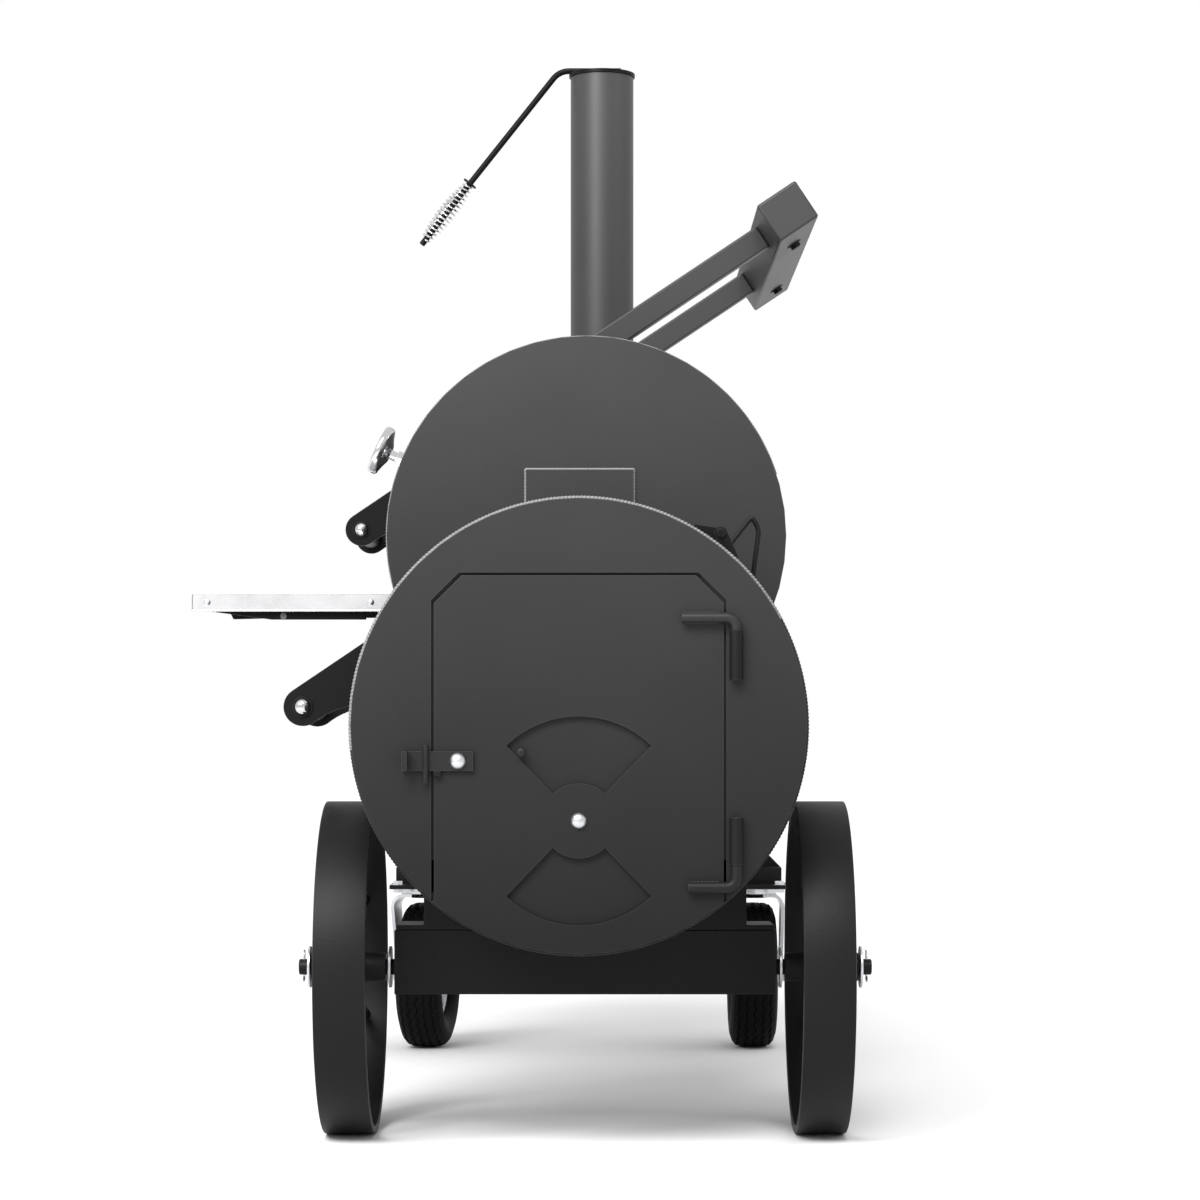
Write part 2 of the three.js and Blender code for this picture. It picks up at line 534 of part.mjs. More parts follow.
// ---------------------------------------------------------------- smokestack
function addStack() {
  const { x, y } = STACK;
  const front = chamberEnd + GAP;
  const back = front + ELBOW.depth;
  const outside = box(x - ELBOW.halfWidth, x + ELBOW.halfWidth, front, back, ELBOW.bottom, ELBOW.top);
  const inside = box(x - ELBOW.halfWidth + ELBOW.wall, x + ELBOW.halfWidth - ELBOW.wall, front - 5,
    back - ELBOW.wall, ELBOW.bottom + ELBOW.wall, ELBOW.top - ELBOW.wall);
  const flue = rod('Z', x, y, STACK.radius - STACK.wall, ELBOW.top - 20, ELBOW.top + 20, 20);
  addPiece('stack_elbow', outside.subtract(inside).subtract(flue), blackPaint);

  const pivot = [x + CAP.pivot[0], y + CAP.pivot[1]];
  const wall = [x + CAP.pivot[0] * 0.8, y + CAP.pivot[1] * 0.8];
  const barrelBottom = STACK.top - 46;
  const barrel = rod('Z', ...pivot, 7.5, barrelBottom, STACK.top, 10)
    .add(prism(strip(wall, pivot, 4), 'Z', barrelBottom, STACK.top));
  const shell = rod('Z', x, y, STACK.radius, ELBOW.top + GAP, STACK.top, 20);
  const bores = joined(
    rod('Z', x, y, STACK.radius - STACK.wall, ELBOW.top - 5, STACK.top + 5, 20),
    rod('Z', ...pivot, 4.4, barrelBottom - 4, STACK.top + 5, 8),
  );
  addPiece('stack_pipe', joined(shell, barrel).subtract(bores), blackPaint);

  const capZ = STACK.top + GAP;
  const cap = joined(
    rod('Z', x, y, CAP.radius, capZ, capZ + CAP.thickness, 24),
    prism(strip(wall, pivot, 8), 'Z', capZ, capZ + CAP.thickness),
    rod('Z', ...pivot, 8, capZ, capZ + CAP.thickness, 10),
    rod('Z', ...pivot, 3.9, barrelBottom - 4, capZ + CAP.thickness, 8),
  );
  addPiece('stack_cap', cap, blackPaint);

  const rodZ = capZ + CAP.thickness + CAP.rod + 1;
  const [elbowX, gripX, gripZ, tipX, tipZ] = [-48, -196, 1348, -267, 1258];
  const rodPath = [[x + 30, y, rodZ], [elbowX, y, rodZ], [gripX, y, gripZ], [tipX, y, tipZ]];
  const handle = bentBar(rodPath, CAP.rod, 5, 24);
  addPiece('cap_handle_rod', handle, blackPaint);
  const down = new THREE.Vector3(tipX - gripX, 0, tipZ - gripZ);
  const reach = down.length();
  const bore = CAP.rod + 0.5;
  const profile = [[bore, 0], [12, 0], [12, 2], [7, 3]];
  for (let i = 0; i <= 8; i += 1) {
    const s = i / 8;
    profile.push([6 + 8.5 * Math.sin(Math.PI * s), 5 + (reach - 5) * s]);
  }
  profile.push([bore, reach], [bore, 0]);
  const grip = turned(profile, down, [gripX + 6.3, y, gripZ + 7.8], 14);
  addPiece('spring_grip', grip, chrome);
}

// ---------------------------------------------------------------- fold-down shelf
function addShelf() {
  const { outer, inner, from, to, top, height, lip, sheet, hingeX, hingeZ } = SHELF;
  const hollow = box(outer + sheet, inner + 5, from + sheet, to - sheet, top - height - 5, top - sheet)
    .add(box(outer - 5, inner + 5, from + sheet, to + 5, top - height - 5, top - lip));
  const knuckles = [[from + 60, from + 100], [to - 100, to - 60]].map(([y0, y1]) => joined(
    rod('Y', hingeX, hingeZ, 7.6, y0, y1, 8),
    box(hingeX - 7, hingeX + 7, y0, y1, hingeZ, top - sheet + 0.5),
  ));
  const tray = joined(box(outer, inner, from, to, top - height, top).subtract(hollow), ...knuckles)
    .subtract(rod('Y', hingeX, hingeZ, 5.4, from + 50, to - 50, 8));
  addPiece('shelf_tray', tray, stainless);

  const lug = polygon([
    [hingeX - 7, hingeZ - 6], [hingeX, hingeZ - 8], [-220, hingeZ - 16], [-220, hingeZ + 4],
    [hingeX, hingeZ + 7], [hingeX - 7, hingeZ + 4],
  ]);
  const rail = joined(
    rod('Y', hingeX, hingeZ, 4.9, from + 36, to - 36, 8),
    ...[from + 36, (from + to) / 2 - 5, to - 46].map((y) => prism(lug, 'Y', y, y + 10)),
  ).subtract(drumBody(CHAMBER));
  addPiece('shelf_hinge_rail', rail, blackPaint);

  const low = top - height;
  const side = (depth) => polygon([
    [outer + 14, top - sheet - GAP], [outer + 14, top - lip], [outer + 20, low + 1], [-412, low - depth],
    [hingeX - 26, low - depth], [hingeX - 26, top - sheet - GAP],
  ]);
  const bracket = joined(
    prism(side(10), 'Y', from + 12, from + 18),
    prism(side(-3), 'Y', to - 18, to - 12),
    box(-420, -396, from + 12, to - 12, top - lip, top - sheet - GAP),
  );
  addPiece('shelf_bracket', bracket, blackPaint);
}

// ---------------------------------------------------------------- running gear
function addAxle() {
  const { halfLength, bottom, side, wall } = BEAM;
  const y0 = WHEEL.y - side / 2;
  const top = bottom + side;
  const tube = box(-halfLength, halfLength, y0, y0 + side, bottom, top)
    .subtract(box(
      -halfLength + wall, halfLength - wall, y0 + wall, y0 + side - wall, bottom + wall, top - wall,
    ))
    .subtract(rod('X', WHEEL.y, WHEEL.radius, AXLE.radius + 0.4, -400, 400))
    .subtract(drumBody(FIREBOX));
  addPiece('axle_beam', tube, blackPaint);

  const axle = [rod('X', WHEEL.y, WHEEL.radius, AXLE.radius, -AXLE.end, AXLE.end, 8)];
  [-1, 1].forEach((end) => {
    [[231, 234.5], [327.5, 330.5]].forEach(([near, far]) => {
      const span = [end * near, end * far].sort((a, b) => a - b);
      axle.push(rod('X', WHEEL.y, WHEEL.radius, AXLE.washer, ...span, 8));
    });
    axle.push(rod('Z', end * 336, WHEEL.y, 2, WHEEL.radius - 17, WHEEL.radius + 17, 3));
  });
  addPiece('wheel_axle', joined(...axle), zinc);

  const [left, right] = [-SADDLE.halfWidth, SADDLE.halfWidth];
  const back = y0 + side + GAP;
  const upstand = box(left, right, y0, y0 + SADDLE.plate, top + GAP, SADDLE.top);
  const cradle = box(left, right, back, back + SADDLE.plate, bottom + 20, SADDLE.top);
  const flanges = [[-SADDLE.foot, left + 70], [right - 70, SADDLE.foot]].map(([x0, x1]) => (
    box(x0, x1, y0, back + SADDLE.plate, top + GAP, top + SADDLE.flange)
  ));
  const saddle = joined(upstand, cradle, ...flanges).subtract(drumBody(FIREBOX));
  addPiece('firebox_saddle', saddle, blackPaint);
}

function addRoadWheel(name, side) {
  const half = 16;
  const start = Math.PI / (2 * half);
  const outer = WHEEL.radius / Math.cos(start);
  const span = (near, far) => [side * near, side * far].sort((a, b) => a - b);
  const rim = prism(disc(WHEEL.y, WHEEL.radius, outer, start), 'X', ...span(WHEEL.inner, WHEEL.outer), half)
    .subtract(prism(disc(WHEEL.y, WHEEL.radius, outer - WHEEL.tread, start), 'X', -400, 400, half));
  const hub = rod('X', WHEEL.y, WHEEL.radius, WHEEL.hub, ...span(238, 326), 10);
  const middle = side * (WHEEL.inner + WHEEL.outer) / 2;
  const spokes = [];
  for (let i = 0; i < WHEEL.spokes; i += 1) {
    const spoke = rod('Z', middle, 0, 7, WHEEL.hub - 5, WHEEL.radius - WHEEL.tread + 2, 4)
      .rotate([(360 * (i + 0.5)) / WHEEL.spokes, 0, 0])
      .translate([0, WHEEL.y, WHEEL.radius]);
    spokes.push(spoke);
  }
  const bore = rod('X', WHEEL.y, WHEEL.radius, AXLE.radius + 0.5, -400, 400, 10);
  addPiece(name, joined(rim, hub, ...spokes).subtract(bore), blackPaint);
}

function addRearStand() {
  const { y, halfWidth, bottom, height, depth, plate } = STAND;
  const foot = bottom + GAP;
  const beam = box(-halfWidth, halfWidth, y - depth / 2, y + depth / 2, foot, foot + height);
  const web = prism(polygon([
    [-halfWidth, foot], [halfWidth, foot], [halfWidth, foot + height],
    [73, 497], [-73, 497], [-halfWidth, foot + height],
  ]), 'Y', y - plate / 2, y + plate / 2).subtract(drumBody(CHAMBER));
  const saddle = arcPlate(
    CHAMBER, DRUM.radius + 8, DRUM.radius + GAP, 250, 290, y - depth / 2, y + depth / 2,
  );
  const plates = [-1, 1].map((side) => (
    box(side * CASTER.x - 50, side * CASTER.x + 50, y - 57, y + 57, bottom - CASTER.plate, foot + 1)
  ));
  addPiece('rear_stand', joined(beam, web, saddle, ...plates), blackPaint);
}

// A caster is built about its swivel axis, then turned and set under the stand.
function addCaster(name, side, turn) {
  const { radius, width, trail, plateTop, plate } = CASTER;
  const group = new THREE.Group();
  const half = width / 2;
  const head = plateTop - plate - GAP;
  const legs = [-1, 1].map((flank) => {
    const span = [flank * (half + 5), flank * (half + 10)].sort((a, b) => a - b);
    const outline = polygon([
      [-34, 229], [34, 229], [trail + 17, radius], [trail + 10, radius - 15], [trail - 10, radius - 15],
      [trail - 17, radius],
    ]);
    return prism(outline, 'X', ...span);
  });
  const fork = joined(
    rod('Z', 0, 0, 36, 229, head, 12),
    box(-half - 10, half + 10, -34, 34, 224, 230),
    ...legs,
    rod('X', trail, radius, 6, -half - 20, half + 20, 8),
    rod('X', trail, radius, 11, -half - 17, -half - 9, 3),
    rod('X', trail, radius, 11, half + 9, half + 17, 3),
  );
  addPiece(`caster_fork_${name}`, fork, zinc, group);

  const facets = 12;
  const start = Math.PI / (2 * facets);
  const tread = radius / Math.cos(start);
  const rings = [[-half, radius - 24], [-half + 8, radius - 5], [-half + 20, radius], [half - 20, radius],
    [half - 8, radius - 5], [half, radius - 24]];
  const tyreSlices = [];
  for (let i = 0; i < rings.length - 1; i += 1) {
    const [[x0, r0], [x1, r1]] = [rings[i], rings[i + 1]];
    const cone = new THREE.CylinderGeometry(r1 * tread / radius, r0 * tread / radius, x1 - x0, 2 * facets);
    cone.rotateY(start);
    cone.rotateZ(-Math.PI / 2);
    cone.translate((x0 + x1) / 2, trail, radius);
    tyreSlices.push(toSolid(cone));
  }
  const rimRadius = 62;
  const tyre = joined(...tyreSlices).subtract(rod('X', trail, radius, rimRadius + GAP, -80, 80, facets));
  addPiece(`caster_tyre_${name}`, tyre, rubber, group);
  const hub = joined(
    rod('X', trail, radius, rimRadius, -22, 22, facets),
    rod('X', trail, radius, 20, -half - 3, half + 3, 10),
  ).subtract(rod('X', trail, radius, 6.5, -90, 90, 8));
  addPiece(`caster_hub_${name}`, hub, zinc, group);

  group.rotation.z = rad(turn);
  group.position.set(side * CASTER.x, STAND.y, 0);
  smoker.add(group);
}

// ---------------------------------------------------------------- assembly
addFireboxShell();
addChamberShell();
addTiePlate();
addInsides();
addLids();
addDoor();
addDoorHinges();
addLatch();
addStack();
addShelf();
addAxle();
addRoadWheel('road_wheel_left', -1);
addRoadWheel('road_wheel_right', 1);
addRearStand();
addCaster('left', -1, CASTER.turn[0]);
addCaster('right', 1, CASTER.turn[1]);

const bounds = new THREE.Box3().setFromObject(smoker);
const centre = bounds.getCenter(new THREE.Vector3());
smoker.position.set(-centre.x, -centre.y, -bounds.min.z);

export default smoker;
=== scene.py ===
# Offset smoker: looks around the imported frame. Metres, +Z up, the firebox door faces -Y.
import math
import bmesh
import bpy
import numpy as np
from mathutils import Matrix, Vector


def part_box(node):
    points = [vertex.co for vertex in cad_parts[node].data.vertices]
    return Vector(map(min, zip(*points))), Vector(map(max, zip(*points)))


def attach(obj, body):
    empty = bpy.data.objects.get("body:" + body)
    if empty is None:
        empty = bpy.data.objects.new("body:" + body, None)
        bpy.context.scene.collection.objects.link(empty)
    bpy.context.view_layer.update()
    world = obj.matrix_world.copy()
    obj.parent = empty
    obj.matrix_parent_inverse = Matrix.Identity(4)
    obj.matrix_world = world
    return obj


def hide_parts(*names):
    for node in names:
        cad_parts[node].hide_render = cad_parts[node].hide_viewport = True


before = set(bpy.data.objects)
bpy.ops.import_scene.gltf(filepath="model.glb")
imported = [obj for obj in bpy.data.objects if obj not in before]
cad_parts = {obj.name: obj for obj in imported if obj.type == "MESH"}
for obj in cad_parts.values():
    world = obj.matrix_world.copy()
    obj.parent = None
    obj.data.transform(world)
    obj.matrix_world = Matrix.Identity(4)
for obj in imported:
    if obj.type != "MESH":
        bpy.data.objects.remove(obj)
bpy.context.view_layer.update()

# ---------------------------------------------------------------- camera
# A long lens a few metres in front of the firebox door, held level at the height of the firebox's
# centre, with the frame shifted up so that the stack's top and the ground both fit.
MM = 0.001
firebox_low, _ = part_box("firebox_shell")
chamber_low, chamber_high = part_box("cook_chamber_shell")
CENTRE_X = (chamber_low.x + chamber_high.x) / 2
FACE_Y = firebox_low.y
scene = bpy.context.scene


def at(x, y, z):
    """A place in metres, from millimetres right of the chamber's centre, behind the firebox face and up."""
    return Vector((CENTRE_X + x * MM, FACE_Y + y * MM, z * MM))


camera_data = bpy.data.cameras.new("camera")
camera_data.lens = 95.4
camera_data.sensor_width = 36.0
camera_data.shift_x = -0.0017
camera_data.shift_y = 0.1133
camera = bpy.data.objects.new("camera", camera_data)
camera.location = at(20, -3556, 474)
camera.rotation_euler = (math.radians(90), 0, 0)
scene.collection.objects.link(camera)
scene.camera = camera
scene.view_settings.view_transform = "Standard"

# ---------------------------------------------------------------- floor and light
# A plain white studio: a pale floor, an even white surround, a high soft key from the front that
# throws the shadow back under the drums, a broad box at the upper left and a strip at the right.


def put_together(name, verts, faces):
    """A mesh object from points and faces, doubles merged and every face turned outwards."""
    mesh = bpy.data.meshes.new(name)
    mesh.from_pydata(np.asarray(verts, float).tolist(), [], [list(map(int, f)) for f in faces])
    work = bmesh.new()
    work.from_mesh(mesh)
    bmesh.ops.remove_doubles(work, verts=work.verts, dist=1e-6)
    bmesh.ops.recalc_face_normals(work, faces=work.faces)
    work.to_mesh(mesh)
    work.free()
    obj = bpy.data.objects.new(name, mesh)
    scene.collection.objects.link(obj)
    return obj


def new_material(name):
    """An empty node material with its shader, ready for links. Returns it, its nodes, links and shader."""
    material = bpy.data.materials.new(name)
    material.use_nodes = True
    nodes = material.node_tree.nodes
    return material, nodes, material.node_tree.links, nodes["Principled BSDF"]


floor = put_together(
    "studio_floor", [(-30, -20, 0), (30, -20, 0), (30, 60, 0), (-30, 60, 0)], [(0, 1, 2, 3)])
floor_material, _, _, floor_shader = new_material("floor_white")
floor_shader.inputs["Base Color"].default_value = (0.72, 0.72, 0.72, 1)
floor_shader.inputs["Roughness"].default_value = 0.9
floor_shader.inputs["Specular IOR Level"].default_value = 0.1
floor.data.materials.append(floor_material)

world = bpy.data.worlds.new("studio")
world.use_nodes = True
world.node_tree.nodes["Background"].inputs["Color"].default_value = (1, 1, 1, 1)
world.node_tree.nodes["Background"].inputs["Strength"].default_value = 1.0
scene.world = world


def add_lamp(name, place, target, size, power):
    """A flat rectangular lamp at a place, turned towards its target. Size in metres, power in watts."""
    data = bpy.data.lights.new(name, "AREA")
    data.shape = "RECTANGLE"
    data.size, data.size_y = size
    data.energy = power
    lamp = bpy.data.objects.new(name, data)
    lamp.location = place
    lamp.rotation_euler = (Vector(target) - Vector(place)).to_track_quat("-Z", "Y").to_euler()
    scene.collection.objects.link(lamp)


add_lamp("lamp_upper_left", (-1.6, -2.9, 2.7), (0, 0, 1.0), (1.8, 1.8), 150)
add_lamp("lamp_right", (2.6, -0.6, 1.9), (0, 0, 0.8), (0.5, 2.0), 6)
key_data = bpy.data.lights.new("key_high_front", "SUN")
key_data.energy = 2.2
key_data.angle = math.radians(24)
key = bpy.data.objects.new("key_high_front", key_data)
key.rotation_euler = Vector((0.12, 1.0, -1.15)).to_track_quat("-Z", "Y").to_euler()
scene.collection.objects.link(key)

# ---------------------------------------------------------------- shared surface effects
# Paint, plating and bare steel all show a fine grain, slow tone changes and paler edges, partly wear and
# partly a painted edge highlight.


def effect_group(name, inputs, outputs):
    """An empty shader node group with float inputs and the named outputs."""
    group = bpy.data.node_groups.new(name, "ShaderNodeTree")
    for label, value in inputs:
        socket = group.interface.new_socket(name=label, in_out="INPUT", socket_type="NodeSocketFloat")
        socket.default_value = value
    for label, kind in outputs:
        group.interface.new_socket(name=label, in_out="OUTPUT", socket_type=kind)
    return group, group.nodes.new("NodeGroupInput"), group.nodes.new("NodeGroupOutput")


def noise_in(tree, coords, scale, detail):
    """Noise at the coords, with its scale taken from a socket. Returns its value socket."""
    noise = tree.nodes.new("ShaderNodeTexNoise")
    noise.inputs["Detail"].default_value = detail
    tree.links.new(scale, noise.inputs["Scale"])
    tree.links.new(coords, noise.inputs["Vector"])
    return noise.outputs["Fac"]


surface_grain, grain_in, grain_out = effect_group(
    "surface_grain", [("Grain Scale", 700.0), ("Blotch Scale", 6.0)],
    [("Grain", "NodeSocketFloat"), ("Blotch", "NodeSocketFloat")])
grain_coords = surface_grain.nodes.new("ShaderNodeTexCoord").outputs["Object"]
grain_fac = noise_in(surface_grain, grain_coords, grain_in.outputs["Grain Scale"], 3)
blotch_fac = noise_in(surface_grain, grain_coords, grain_in.outputs["Blotch Scale"], 4)
surface_grain.links.new(grain_fac, grain_out.inputs["Grain"])
surface_grain.links.new(blotch_fac, grain_out.inputs["Blotch"])

# Paler edges: partly wear, partly a painted highlight standing in for edges catching the light, laid on
# every edge whatever the lamp.
edge_wear_and_highlight, edge_in, edge_out = effect_group(
    "edge_wear_and_highlight", [("Low", 0.02), ("High", 0.2)], [("Pale Edge", "NodeSocketFloat")])
bevel = edge_wear_and_highlight.nodes.new("ShaderNodeBevel")
bevel.samples = 4
bevel.inputs["Radius"].default_value = 0.0016
true_normal = edge_wear_and_highlight.nodes.new("ShaderNodeNewGeometry").outputs["Normal"]
facing = edge_wear_and_highlight.nodes.new("ShaderNodeVectorMath")
facing.operation = "DOT_PRODUCT"
edge_wear_and_highlight.links.new(bevel.outputs["Normal"], facing.inputs[0])
edge_wear_and_highlight.links.new(true_normal, facing.inputs[1])
turned_away = edge_wear_and_highlight.nodes.new("ShaderNodeMath")
turned_away.operation = "SUBTRACT"
turned_away.inputs[0].default_value = 1.0
edge_wear_and_highlight.links.new(facing.outputs["Value"], turned_away.inputs[1])
edge_range = edge_wear_and_highlight.nodes.new("ShaderNodeMapRange")
edge_wear_and_highlight.links.new(turned_away.outputs["Value"], edge_range.inputs["Value"])
edge_wear_and_highlight.links.new(edge_in.outputs["Low"], edge_range.inputs["From Min"])
edge_wear_and_highlight.links.new(edge_in.outputs["High"], edge_range.inputs["From Max"])
edge_wear_and_highlight.links.new(edge_range.outputs["Result"], edge_out.inputs["Pale Edge"])

# Painted light and shade: a share growing with height, 0.46 near the ground to 1.85 up high, darkening paint
# low down and lightening it up high.
surface_height, _, height_out = effect_group("surface_height", [], [("Share", "NodeSocketFloat")])
height_parts = surface_height.nodes.new("ShaderNodeSeparateXYZ")
height_coords = surface_height.nodes.new("ShaderNodeTexCoord").outputs["Object"]
surface_height.links.new(height_coords, height_parts.inputs["Vector"])
height_range = surface_height.nodes.new("ShaderNodeMapRange")
height_range.inputs["From Min"].default_value = 0.25
height_range.inputs["From Max"].default_value = 1.5
height_range.inputs["To Min"].default_value = 0.46
height_range.inputs["To Max"].default_value = 1.85
surface_height.links.new(height_parts.outputs["Z"], height_range.inputs["Value"])
surface_height.links.new(height_range.outputs["Result"], height_out.inputs["Share"])


def scaled_by_height(nodes, links, value):
    """A value times the height share: painted shade low down and painted light up high, for the light
    falling from above.
    """
    height = nodes.new("ShaderNodeGroup")
    height.node_tree = surface_height
    product = nodes.new("ShaderNodeMath")
    product.operation = "MULTIPLY"
    product.inputs[1].default_value = value
    links.new(height.outputs["Share"], product.inputs[0])
    return product.outputs["Value"]


def finish_material(name, dark, light, pale_edge, roughness, metallic, grain_scale, bump, blotch=6.0, pale_edge_share=1.0,
                    specular=0.5, height_shade=False):
    """A finish: colour drifts from dark to light, a paler edge colour (wear and a painted edge highlight),
    roughness range, grain bump.
    """
    material, nodes, links, shader = new_material(name)
    grain = nodes.new("ShaderNodeGroup")
    grain.node_tree = surface_grain
    grain.inputs["Grain Scale"].default_value = grain_scale
    grain.inputs["Blotch Scale"].default_value = blotch
    edges = nodes.new("ShaderNodeGroup")
    edges.node_tree = edge_wear_and_highlight
    drift = nodes.new("ShaderNodeMix")
    drift.data_type = "RGBA"
    drift.inputs["A"].default_value = (*dark, 1)
    drift.inputs["B"].default_value = (*light, 1)
    links.new(grain.outputs["Blotch"], drift.inputs["Factor"])
    share = nodes.new("ShaderNodeMath")
    share.operation = "MULTIPLY"
    share.inputs[1].default_value = pale_edge_share
    links.new(edges.outputs["Pale Edge"], share.inputs[0])
    colour = nodes.new("ShaderNodeMix")
    colour.data_type = "RGBA"
    colour.inputs["B"].default_value = (*pale_edge, 1)
    links.new(share.outputs["Value"], colour.inputs["Factor"])
    links.new(drift.outputs["Result"], colour.inputs["A"])
    # Painted shade and light: colour and specular scaled by height, darker and duller low down, lighter and
    # glossier up high.
    if height_shade:
        height_shaded_colour = nodes.new("ShaderNodeVectorMath")
        height_shaded_colour.operation = "SCALE"
        links.new(colour.outputs["Result"], height_shaded_colour.inputs["Vector"])
        links.new(scaled_by_height(nodes, links, 1.0), height_shaded_colour.inputs["Scale"])
        links.new(height_shaded_colour.outputs["Vector"], shader.inputs["Base Color"])
        links.new(scaled_by_height(nodes, links, specular), shader.inputs["Specular IOR Level"])
    else:
        links.new(colour.outputs["Result"], shader.inputs["Base Color"])
        shader.inputs["Specular IOR Level"].default_value = specular
    rough = nodes.new("ShaderNodeMapRange")
    rough.inputs["To Min"].default_value = roughness[0]
    rough.inputs["To Max"].default_value = roughness[1]
    links.new(grain.outputs["Blotch"], rough.inputs["Value"])
    links.new(rough.outputs["Result"], shader.inputs["Roughness"])
    shader.inputs["Metallic"].default_value = metallic
    relief = nodes.new("ShaderNodeBump")
    relief.inputs["Strength"].default_value = bump
    relief.inputs["Distance"].default_value = 0.0004
    links.new(grain.outputs["Grain"], relief.inputs["Height"])
    links.new(relief.outputs["Normal"], shader.inputs["Normal"])
    return material


# The black paint carries the painted height shading: darker towards the bottom, lighter towards the top.
black_paint = finish_material(
    "satin_black_paint", (0.012, 0.012, 0.0125), (0.018, 0.018, 0.0185), (0.1, 0.1, 0.1),
    (0.42, 0.54), 0.0, 650, 0.28, pale_edge_share=0.45, specular=0.3, height_shade=True)
wheel_paint = finish_material(
    "wheel_black_paint", (0.004, 0.004, 0.0042), (0.007, 0.007, 0.0073), (0.05, 0.05, 0.05),
    (0.4, 0.55), 0.0, 420, 0.5, pale_edge_share=0.6, specular=0.14)
# A darker copy of the black paint for the parts underneath: painted shade where they sit under the drums and
# the shelf.
under_parts_shade_paint = finish_material(
    "black_paint_shaded_under", (0.0045, 0.0045, 0.0048), (0.007, 0.007, 0.0073), (0.06, 0.06, 0.06),
    (0.45, 0.6), 0.0, 500, 0.35, pale_edge_share=0.6, specular=0.13)
bracket_paint = finish_material(
    "bracket_black_paint", (0.003, 0.003, 0.0032), (0.005, 0.005, 0.0053), (0.05, 0.05, 0.05),
    (0.36, 0.5), 0.0, 600, 0.3, pale_edge_share=0.5, specular=0.11)
seasoned_steel = finish_material(
    "seasoned_bare_steel", (0.05, 0.045, 0.04), (0.11, 0.1, 0.09), (0.25, 0.24, 0.22),
    (0.45, 0.7), 0.8, 300, 0.5, blotch=18)
brushed_stainless = finish_material(
    "brushed_stainless", (0.6, 0.6, 0.61), (0.71, 0.71, 0.72), (0.8, 0.8, 0.8),
    (0.22, 0.36), 1.0, 900, 0.12, blotch=25)
bright_chrome = finish_material(
    "bright_chrome", (0.5, 0.5, 0.51), (0.66, 0.66, 0.67), (0.8, 0.8, 0.81),
    (0.06, 0.14), 1.0, 500, 0.05, blotch=30)
bright_zinc = finish_material(
    "bright_zinc", (0.5, 0.51, 0.53), (0.64, 0.65, 0.67), (0.75, 0.75, 0.76),
    (0.22, 0.42), 1.0, 600, 0.2, blotch=40)
moulded_rubber = finish_material(
    "moulded_rubber", (0.0015, 0.0015, 0.0015), (0.0035, 0.0035, 0.0035), (0.03, 0.03, 0.03),
    (0.5, 0.7), 0.0, 380, 0.4, pale_edge_share=0.5, specular=0.06)
# Pale metal for weld beads and the bare shelf catch; on the beads it is a painted highlight for the light
# from above.
pale_metal_and_highlight = finish_material(
    "pale_weld_metal_and_painted_highlight", (0.075, 0.075, 0.077), (0.17, 0.17, 0.173), (0.3, 0.3, 0.3),
    (0.4, 0.55), 0.0, 700, 0.5, blotch=60, specular=0.4)

SMOOTH_ANGLE = math.radians(32)


def dress(obj, material, body, slot, *nodes):
    """Gives a finished piece its material, its body and the CAD nodes it stands for. The slot is not used.
    """
    obj.data.materials.clear()
    obj.data.materials.append(material)
    obj.data.shade_smooth()
    obj.data.set_sharp_from_angle(angle=SMOOTH_ANGLE)
    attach(obj, body)
    if nodes:
        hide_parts(*nodes)
    return obj


def rounded_copy(node, width, material, body, slot, segments=2):
    """The CAD node's own shape with its edges rounded over: triangles merged to flats, then a bevel."""
    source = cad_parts[node].data
    work = bmesh.new()
    work.from_mesh(source)
    bmesh.ops.remove_doubles(work, verts=work.verts, dist=1e-5)
    bmesh.ops.dissolve_limit(
        work, angle_limit=math.radians(0.4), verts=work.verts, edges=work.edges)
    mesh = bpy.data.meshes.new(node + "_rounded")
    work.to_mesh(mesh)
    work.free()
    obj = bpy.data.objects.new(node + "_rounded", mesh)
    scene.collection.objects.link(obj)
    over = obj.modifiers.new("edge_round", "BEVEL")
    over.width = width
    over.segments = segments
    over.limit_method = "ANGLE"
    over.angle_limit = math.radians(30)
    over.use_clamp_overlap = True
    over.harden_normals = False
    return dress(obj, material, body, slot, node)


# ---------------------------------------------------------------- shapes from formulas
# Turned, bent and coiled pieces are laid out point by point in millimetres. Each shape is a pair of
# points and faces, so that several can be put together in one piece.


def square_to(axis):
    """Two unit vectors square to the axis and to each other."""
    axis = np.asarray(axis, float) / np.linalg.norm(axis)
    helper = (0.0, 0.0, 1.0) if abs(axis[2]) < 0.9 else (1.0, 0.0, 0.0)
    u = np.cross(axis, helper)
    u /= np.linalg.norm(u)
    return axis, u, np.cross(axis, u)


def grid_faces(rows, columns, wrap=True):
    """Quads between neighbouring rows and columns; the columns close on themselves when wrap is set."""
    faces = []
    for i in range(rows - 1):
        for j in range(columns if wrap else columns - 1):
            k = (j + 1) % columns
            faces.append((i * columns + j, i * columns + k, (i + 1) * columns + k, (i + 1) * columns + j))
    return faces


def lathe(profile, origin, axis, sides=48):
    """Each (r, h) of the profile goes round: origin + h·axis + r(cos a·u + sin a·v)."""
    axis, u, v = square_to(axis)
    turn = np.linspace(0, 2 * math.pi, sides, endpoint=False)
    circle = np.cos(turn)[:, None] * u + np.sin(turn)[:, None] * v
    rows = [np.asarray(origin, float) + h * axis + radius * circle for radius, h in profile]
    return np.concatenate(rows), grid_faces(len(profile), sides)


